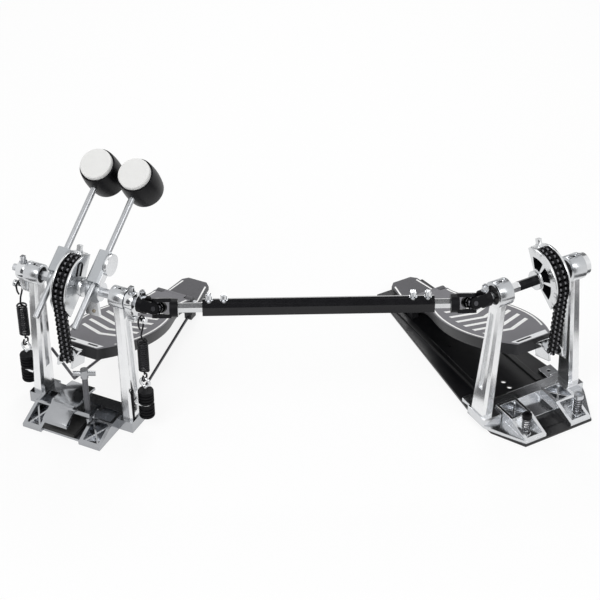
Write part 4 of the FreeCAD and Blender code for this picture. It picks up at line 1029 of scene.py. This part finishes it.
def key_clip():
    """A black wire clip that keeps the tuning key beside the right post."""
    ring = CLIP_RING
    loop = [(CLIP_X, CLIP_Y + ring * math.sin(t), CLIP_HIGH + ring - ring * math.cos(t))
            for t in sweep(0, 330)]
    rod = [(CLIP_X, CLIP_Y, CLIP_LOW), (CLIP_X, CLIP_Y, CLIP_HIGH)]
    clip = joined([wire(MAIN_PEDAL, rod, CLIP_ROD, 10), wire(MAIN_PEDAL, loop, CLIP_WIRE, 8)])
    fitted("key_clip", clip, black, "main_frame")


def apron_screw():
    """A small brass screw in the apron of the second beater's holder."""
    points, faces = lathe(APRON_SCREW_PROFILE, 20)
    height = AXLE_HEIGHT - APRON_HEIGHT + APRON_SCREW_RISE
    spot = (BEATER_X["second"] + APRON_SCREW_SHIFT, -ROCKER_RADIUS, height)
    out = Matrix.Translation(spot) @ Matrix.Rotation(math.radians(90), 4, "X")
    points = [put(MAIN_PEDAL, out @ p) for p in points]
    fitted("apron_screw", (points, faces), brass, "second_axle_body")


# Springs


def return_spring(word, side):
    """A close-wound spring with its lower hook."""
    x = side * SPRING_X
    low = SPRING_LOW + SPRING_WIRE / 2
    top = low + SPRING_PITCH * SPRING_TURNS
    hook = [Vector((x, EYE_HOOK_RADIUS * math.sin(t), SPRING_EYE + EYE_HOOK_RADIUS * math.cos(t)))
            for t in sweep(330, 0, -15)]
    lead = [Vector((x + SPRING_RADIUS * share, 0, low - drop)) for share, drop in EYE_LEAD]
    coil = helix(x, 0, low, SPRING_RADIUS, SPRING_PITCH, SPRING_TURNS)
    shape = wire(MAIN_PEDAL, hook + lead + coil, SPRING_WIRE / 2, 10)
    spring = piece(word + "_spring_coil", *shape, spring_black)
    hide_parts(word + "_spring")
    word + "_spring_body"
    word + "_hook_body"
    tuple(put(MAIN_PEDAL, (x, 0, low)))
    tuple(put(MAIN_PEDAL, (x, 0, top)))
    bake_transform(spring)


def spring_hook(word, side):
    """The long open hook that hangs a return spring on its rocker."""
    x = side * SPRING_X
    r = HOOK_RADIUS
    low = SPRING_TOP + HOOK_SEAT

    def run(shares):
        return [Vector((x, across * r, HOOK_TOP - down * r)) for across, down in shares]
    over = [Vector((x, -r * math.cos(t), HOOK_TOP + r * math.sin(t))) for t in sweep(0, 180)]
    lead = [Vector((x + side * HOOK_SHIFT * r, 0, low + HOOK_LEAD))]
    turn = [Vector((x + SPRING_RADIUS * math.cos(t), SPRING_RADIUS * math.sin(t), low))
            for t in sweep(0, 270)]
    path = soft_path(run(HOOK_TIP) + over + run(HOOK_FALL) + lead) + turn
    fitted(word + "_hook_wire", wire(MAIN_PEDAL, path, HOOK_WIRE, 10), spring_black, word + "_hook_body",
           word + "_spring_hook")


def anchor_springs():
    """The open coils under the heads of the slave's two anchor screws."""
    low = ANCHOR_SPRING_LOW + ANCHOR_SPRING_WIRE / 2
    pitch = (ANCHOR_SPRING_TOP - ANCHOR_SPRING_LOW - ANCHOR_SPRING_WIRE) / ANCHOR_SPRING_TURNS
    coils = []
    for side in SIDES.values():
        path = helix(side * ANCHOR_X, ANCHOR_Y, low, ANCHOR_SPRING_RADIUS, pitch, ANCHOR_SPRING_TURNS)
        coils.append(wire(SLAVE_PEDAL, path, ANCHOR_SPRING_WIRE / 2, 10))
    fitted("anchor_spring_coils", joined(coils), wire_steel, "slave_frame", "anchor_springs")


# Beater felts


def beater_felt(word):
    """A pressed felt disc with a rounded rim, standing proud of the front of its barrel."""
    rim = FELT_THICKNESS - FELT_ROUND
    cut, back = FELT_CHAMFER
    profile = [(0.0, 0.0), (FELT_RADIUS - cut, 0.0), (FELT_RADIUS, back), (FELT_RADIUS, rim)]
    for step in range(1, FELT_STEPS + 1):
        a = math.radians(90 * step / FELT_STEPS)
        profile.append((FELT_RADIUS - FELT_ROUND * (1 - math.cos(a)), rim + FELT_ROUND * math.sin(a)))
    profile += [(radius, FELT_THICKNESS + rise) for radius, rise in FELT_CROWN]
    points, faces = lathe(profile, 64)
    face_on = Matrix.Rotation(math.radians(90), 4, "X")
    seat = Matrix.Translation((BEATER_X[word], -ROD_OFFSET - BARREL_FRONT, BARREL_HEIGHT))
    swing = Matrix.Translation(UP * AXLE_HEIGHT) @ Matrix.Rotation(math.radians(BEATER_ANGLE), 4, "X")
    points = [put(MAIN_PEDAL, swing @ seat @ face_on @ p) for p in points]
    disc = fitted(word + "_felt_face", (points, faces), wool, word + "_beater_body", word + "_felt")


# Footboard trim


def spline(xs, ys):
    """A natural cubic through the given stations, as a function."""
    n = len(xs)
    h = [xs[i + 1] - xs[i] for i in range(n - 1)]
    diagonal, right, curve = [1.0] * n, [0.0] * n, [0.0] * n
    rows = [0.0] * n
    for i in range(1, n - 1):
        rows[i] = 3 * ((ys[i + 1] - ys[i]) / h[i] - (ys[i] - ys[i - 1]) / h[i - 1])
        diagonal[i] = 2 * (xs[i + 1] - xs[i - 1]) - h[i - 1] * right[i - 1]
        right[i] = h[i] / diagonal[i]
        rows[i] = (rows[i] - h[i - 1] * rows[i - 1]) / diagonal[i]
    for i in range(n - 2, 0, -1):
        curve[i] = rows[i] - right[i] * curve[i + 1]

    def at(x):
        i = max(k for k in range(n - 1) if xs[k] <= x or k == 0)
        t = x - xs[i]
        slope = (ys[i + 1] - ys[i]) / h[i] - h[i] * (2 * curve[i] + curve[i + 1]) / 3
        return ys[i] + slope * t + curve[i] * t * t + (curve[i + 1] - curve[i]) / (3 * h[i]) * t ** 3
    return at


board_width = spline(BOARD_STATIONS, [w * BOARD_HALF_WIDTH for w in BOARD_WIDTHS])
HINGE = Vector((0, HINGE_Y, HINGE_HEIGHT))
TILT = (Matrix.Translation(HINGE) @ Matrix.Rotation(math.radians(-BOARD_SLOPE), 4, "X")
        @ Matrix.Translation(-HINGE))


def on_tread(place, x, share, lift):
    """A point on the tread at a share of its length from heel to toe."""
    y = HINGE_Y - BOARD_HEEL_GAP - share * (BOARD_LENGTH - BOARD_HEEL_GAP)
    return put(place, TILT @ Vector((x, y, HINGE_HEIGHT + BOARD_RISE + lift)))


def strip(points):
    """A thin strip between the first and the second half of a list of points."""
    n = len(points) // 2
    return points, [(i, i + 1, n + i + 1, n + i) for i in range(n - 1)]


def ribbon(place, left, right, lift=LINE_LIFT):
    """A thin strip on the tread between two lists of (x, share)."""
    return strip([on_tread(place, x, share, lift) for x, share in left + right])


def board_trim(pedal, place):
    """White edge lines and chevrons on the tread."""
    parts = []
    shares = [LINE_START + LINE_RUN * i / LINE_STEPS for i in range(LINE_STEPS + 1)]
    for side in SIDES.values():
        outer, inner = ([(side * (board_width(s) - inset), s) for s in shares]
                        for inset in (LINE_INSET, LINE_INSET + LINE_WIDTH))
        parts.append(ribbon(place, outer, inner))
    cuts = [k / CHEVRON_CUTS for k in range(CHEVRON_CUTS + 1)]
    for step in range(CHEVRONS):
        tip = CHEVRON_FIRST + CHEVRON_STEP * step
        reach = board_width(tip) - CHEVRON_MARGIN
        for side in SIDES.values():
            near, far = ([(side * reach * cut, start + CHEVRON_RISE * (1 - cut)) for cut in cuts]
                         for start in (tip, tip + CHEVRON_THICK))
            parts.append(ribbon(place, near, far))
    fitted(pedal + "_board_lines", joined(parts), white, pedal + "_treadle_body", smooth=False)


def heel_line(pedal, place):
    """The white outline on a heel plate."""
    points = []
    for inset in (LINE_INSET, LINE_INSET + LINE_WIDTH):
        front = HINGE_Y + HEEL_CORNER + inset + LINE_INSET
        half = [(HEEL_BACK_HALF - inset, HINGE_Y + HEEL_LENGTH - HEEL_LINE_END)]
        half += [(HEEL_FRONT_HALF - inset - cut, front + back) for cut, back in HEEL_LINE_CORNERS]
        run = [(-x, y) for x, y in half] + half[::-1]
        points += [put(place, (x, y, HEEL_TOP + LINE_LIFT)) for x, y in run]
    fitted(pedal + "_heel_line", strip(points), white, pedal + "_frame", smooth=False)


def toe_plate(pedal, place):
    """A bright wear plate across the toe, with a dark slot on each side of the chain."""
    far = TOE_PLATE[1]
    edge = [(board_width(share) - inset, share) for share, inset in zip(TOE_PLATE, TOE_PLATE_INSETS)]
    plate = ribbon(place, [(-x, share) for x, share in edge], edge, TOE_PLATE_LIFT)
    slots = []
    for side in SIDES.values():
        inner = CAM_X[pedal] + side * (CHAIN_WIDTH / 2 + TOE_SLOT_GAP)
        outer = side * (board_width(far) - TOE_SLOT_INSET)
        if side * (outer - inner) > TOE_SLOT_LEAST:
            near_edge, far_edge = ([(inner, share), (outer, share)] for share in TOE_SLOT)
            slots.append(ribbon(place, near_edge, far_edge, TOE_SLOT_LIFT))
    rider = pedal + "_treadle_body"
    fitted(pedal + "_toe_wear_plate", plate, chrome, rider, smooth=False)
    fitted(pedal + "_toe_slots", joined(slots), black, rider, smooth=False)


# Stage, light and camera


def facing(place, aim):
    """The turn that points an object's -Z from its place at an aim."""
    return (Vector(aim) - Vector(place)).to_track_quat("-Z", "Y")


def sheet(name, place, wide, high, material):
    """One flat face, which is stage and not part of the object."""
    square = ((-1, -1), (1, -1), (1, 1), (-1, 1))
    corners = [place @ Vector((x * wide / 2, y * high / 2, 0)) for x, y in square]
    card = piece(name, corners, [(0, 1, 2, 3)], material, smooth=False)
    return card


def studio_floor():
    """A pale floor that is white to the camera and in reflections, and keeps the object's shadow."""
    look = Look("pale_floor")
    look.set(Base_Color=rgb(0.86, 0.86, 0.86), Roughness=0.9)
    glow = look.node("ShaderNodeEmission", None, {"Color": rgb(1, 1, 1), "Strength": 1.0})
    sockets = {0: look.seen() * FLOOR_GLOW, 1: look.shader.out(), 2: glow.out()}
    look.surface(look.node("ShaderNodeMixShader", None, sockets))
    sheet("studio_floor", Matrix.Translation((0, 0, -FLOOR_DROP)), FLOOR_SIZE, FLOOR_SIZE, look.material)


def studio_world():
    """A world that is white to the camera and in reflections, and dimmer as a light."""
    world = bpy.data.worlds.new("studio_world")
    bpy.context.scene.world = world
    world.use_nodes = True
    graph = Graph(world.node_tree)
    sky = graph.group.nodes["Background"].inputs
    graph.feed(sky["Color"], rgb(1, 1, 1))
    graph.feed(sky["Strength"], WORLD_LIGHT + (WORLD_SEEN - WORLD_LIGHT) * graph.seen())


def studio_lamps():
    """Three soft lamps."""
    for name, (place, aim, power, size) in LAMPS.items():
        lamp = bpy.data.lights.new(name, "AREA")
        lamp.energy = power
        lamp.size = size
        holder = bpy.data.objects.new(name, lamp)
        holder.location = place
        holder.rotation_euler = facing(place, aim).to_euler()
        bpy.context.scene.collection.objects.link(holder)


def studio_flags():
    """Dark cards that only reflections see, which give the plating its dark streaks."""
    look = Look("black_flag")
    look.set(Base_Color=rgb(0.09, 0.09, 0.095), Roughness=0.9)
    for number, (place, aim, wide, high) in enumerate(FLAG_CARDS):
        stand = Matrix.Translation(place) @ facing(place, aim).to_matrix().to_4x4()
        card = sheet("flag_card_%d" % number, stand, wide, high, look.material)
        card.visible_camera = False
        card.visible_diffuse = False
        card.visible_shadow = False


def photo_camera():
    """The camera where the photograph was taken."""
    camera = bpy.data.cameras.new("photo_camera")
    camera.lens = CAMERA_LENS
    camera.shift_x, camera.shift_y = CAMERA_SHIFT
    camera.sensor_width = CAMERA_SENSOR
    camera.clip_end = CAMERA_FAR
    holder = bpy.data.objects.new("photo_camera", camera)
    holder.location = CAMERA_PLACE
    holder.rotation_euler = (math.radians(90 - CAMERA_DIP), 0, 0)
    bpy.context.scene.collection.objects.link(holder)
    bpy.context.scene.camera = holder
    bpy.context.scene.view_settings.view_transform = "Standard"


def main():
    """Dresses the solids, adds the scene's own pieces and sets up the studio."""
    dress_solids()
    trees = (link_tree("inner_links", False), link_tree("outer_links", True))
    lay_chain("main", "first_axle_body", trees)
    lay_chain("slave", "slave_axle_body", trees)
    set_screws(screw_tree())
    knurl_nuts(knurl_tree())
    clamp_thread()
    cam_keeper()
    key_clip()
    apron_screw()
    for make in (return_spring, spring_hook):
        for word, side in SIDES.items():
            make(word, side)
    anchor_springs()
    for word in BEATER_X:
        beater_felt(word)
    for make in (board_trim, heel_line, toe_plate):
        for pedal, place in PEDALS.items():
            make(pedal, place)
    studio_floor()
    studio_world()
    studio_lamps()
    studio_flags()
    photo_camera()


main()
bpy.context.view_layer.update()
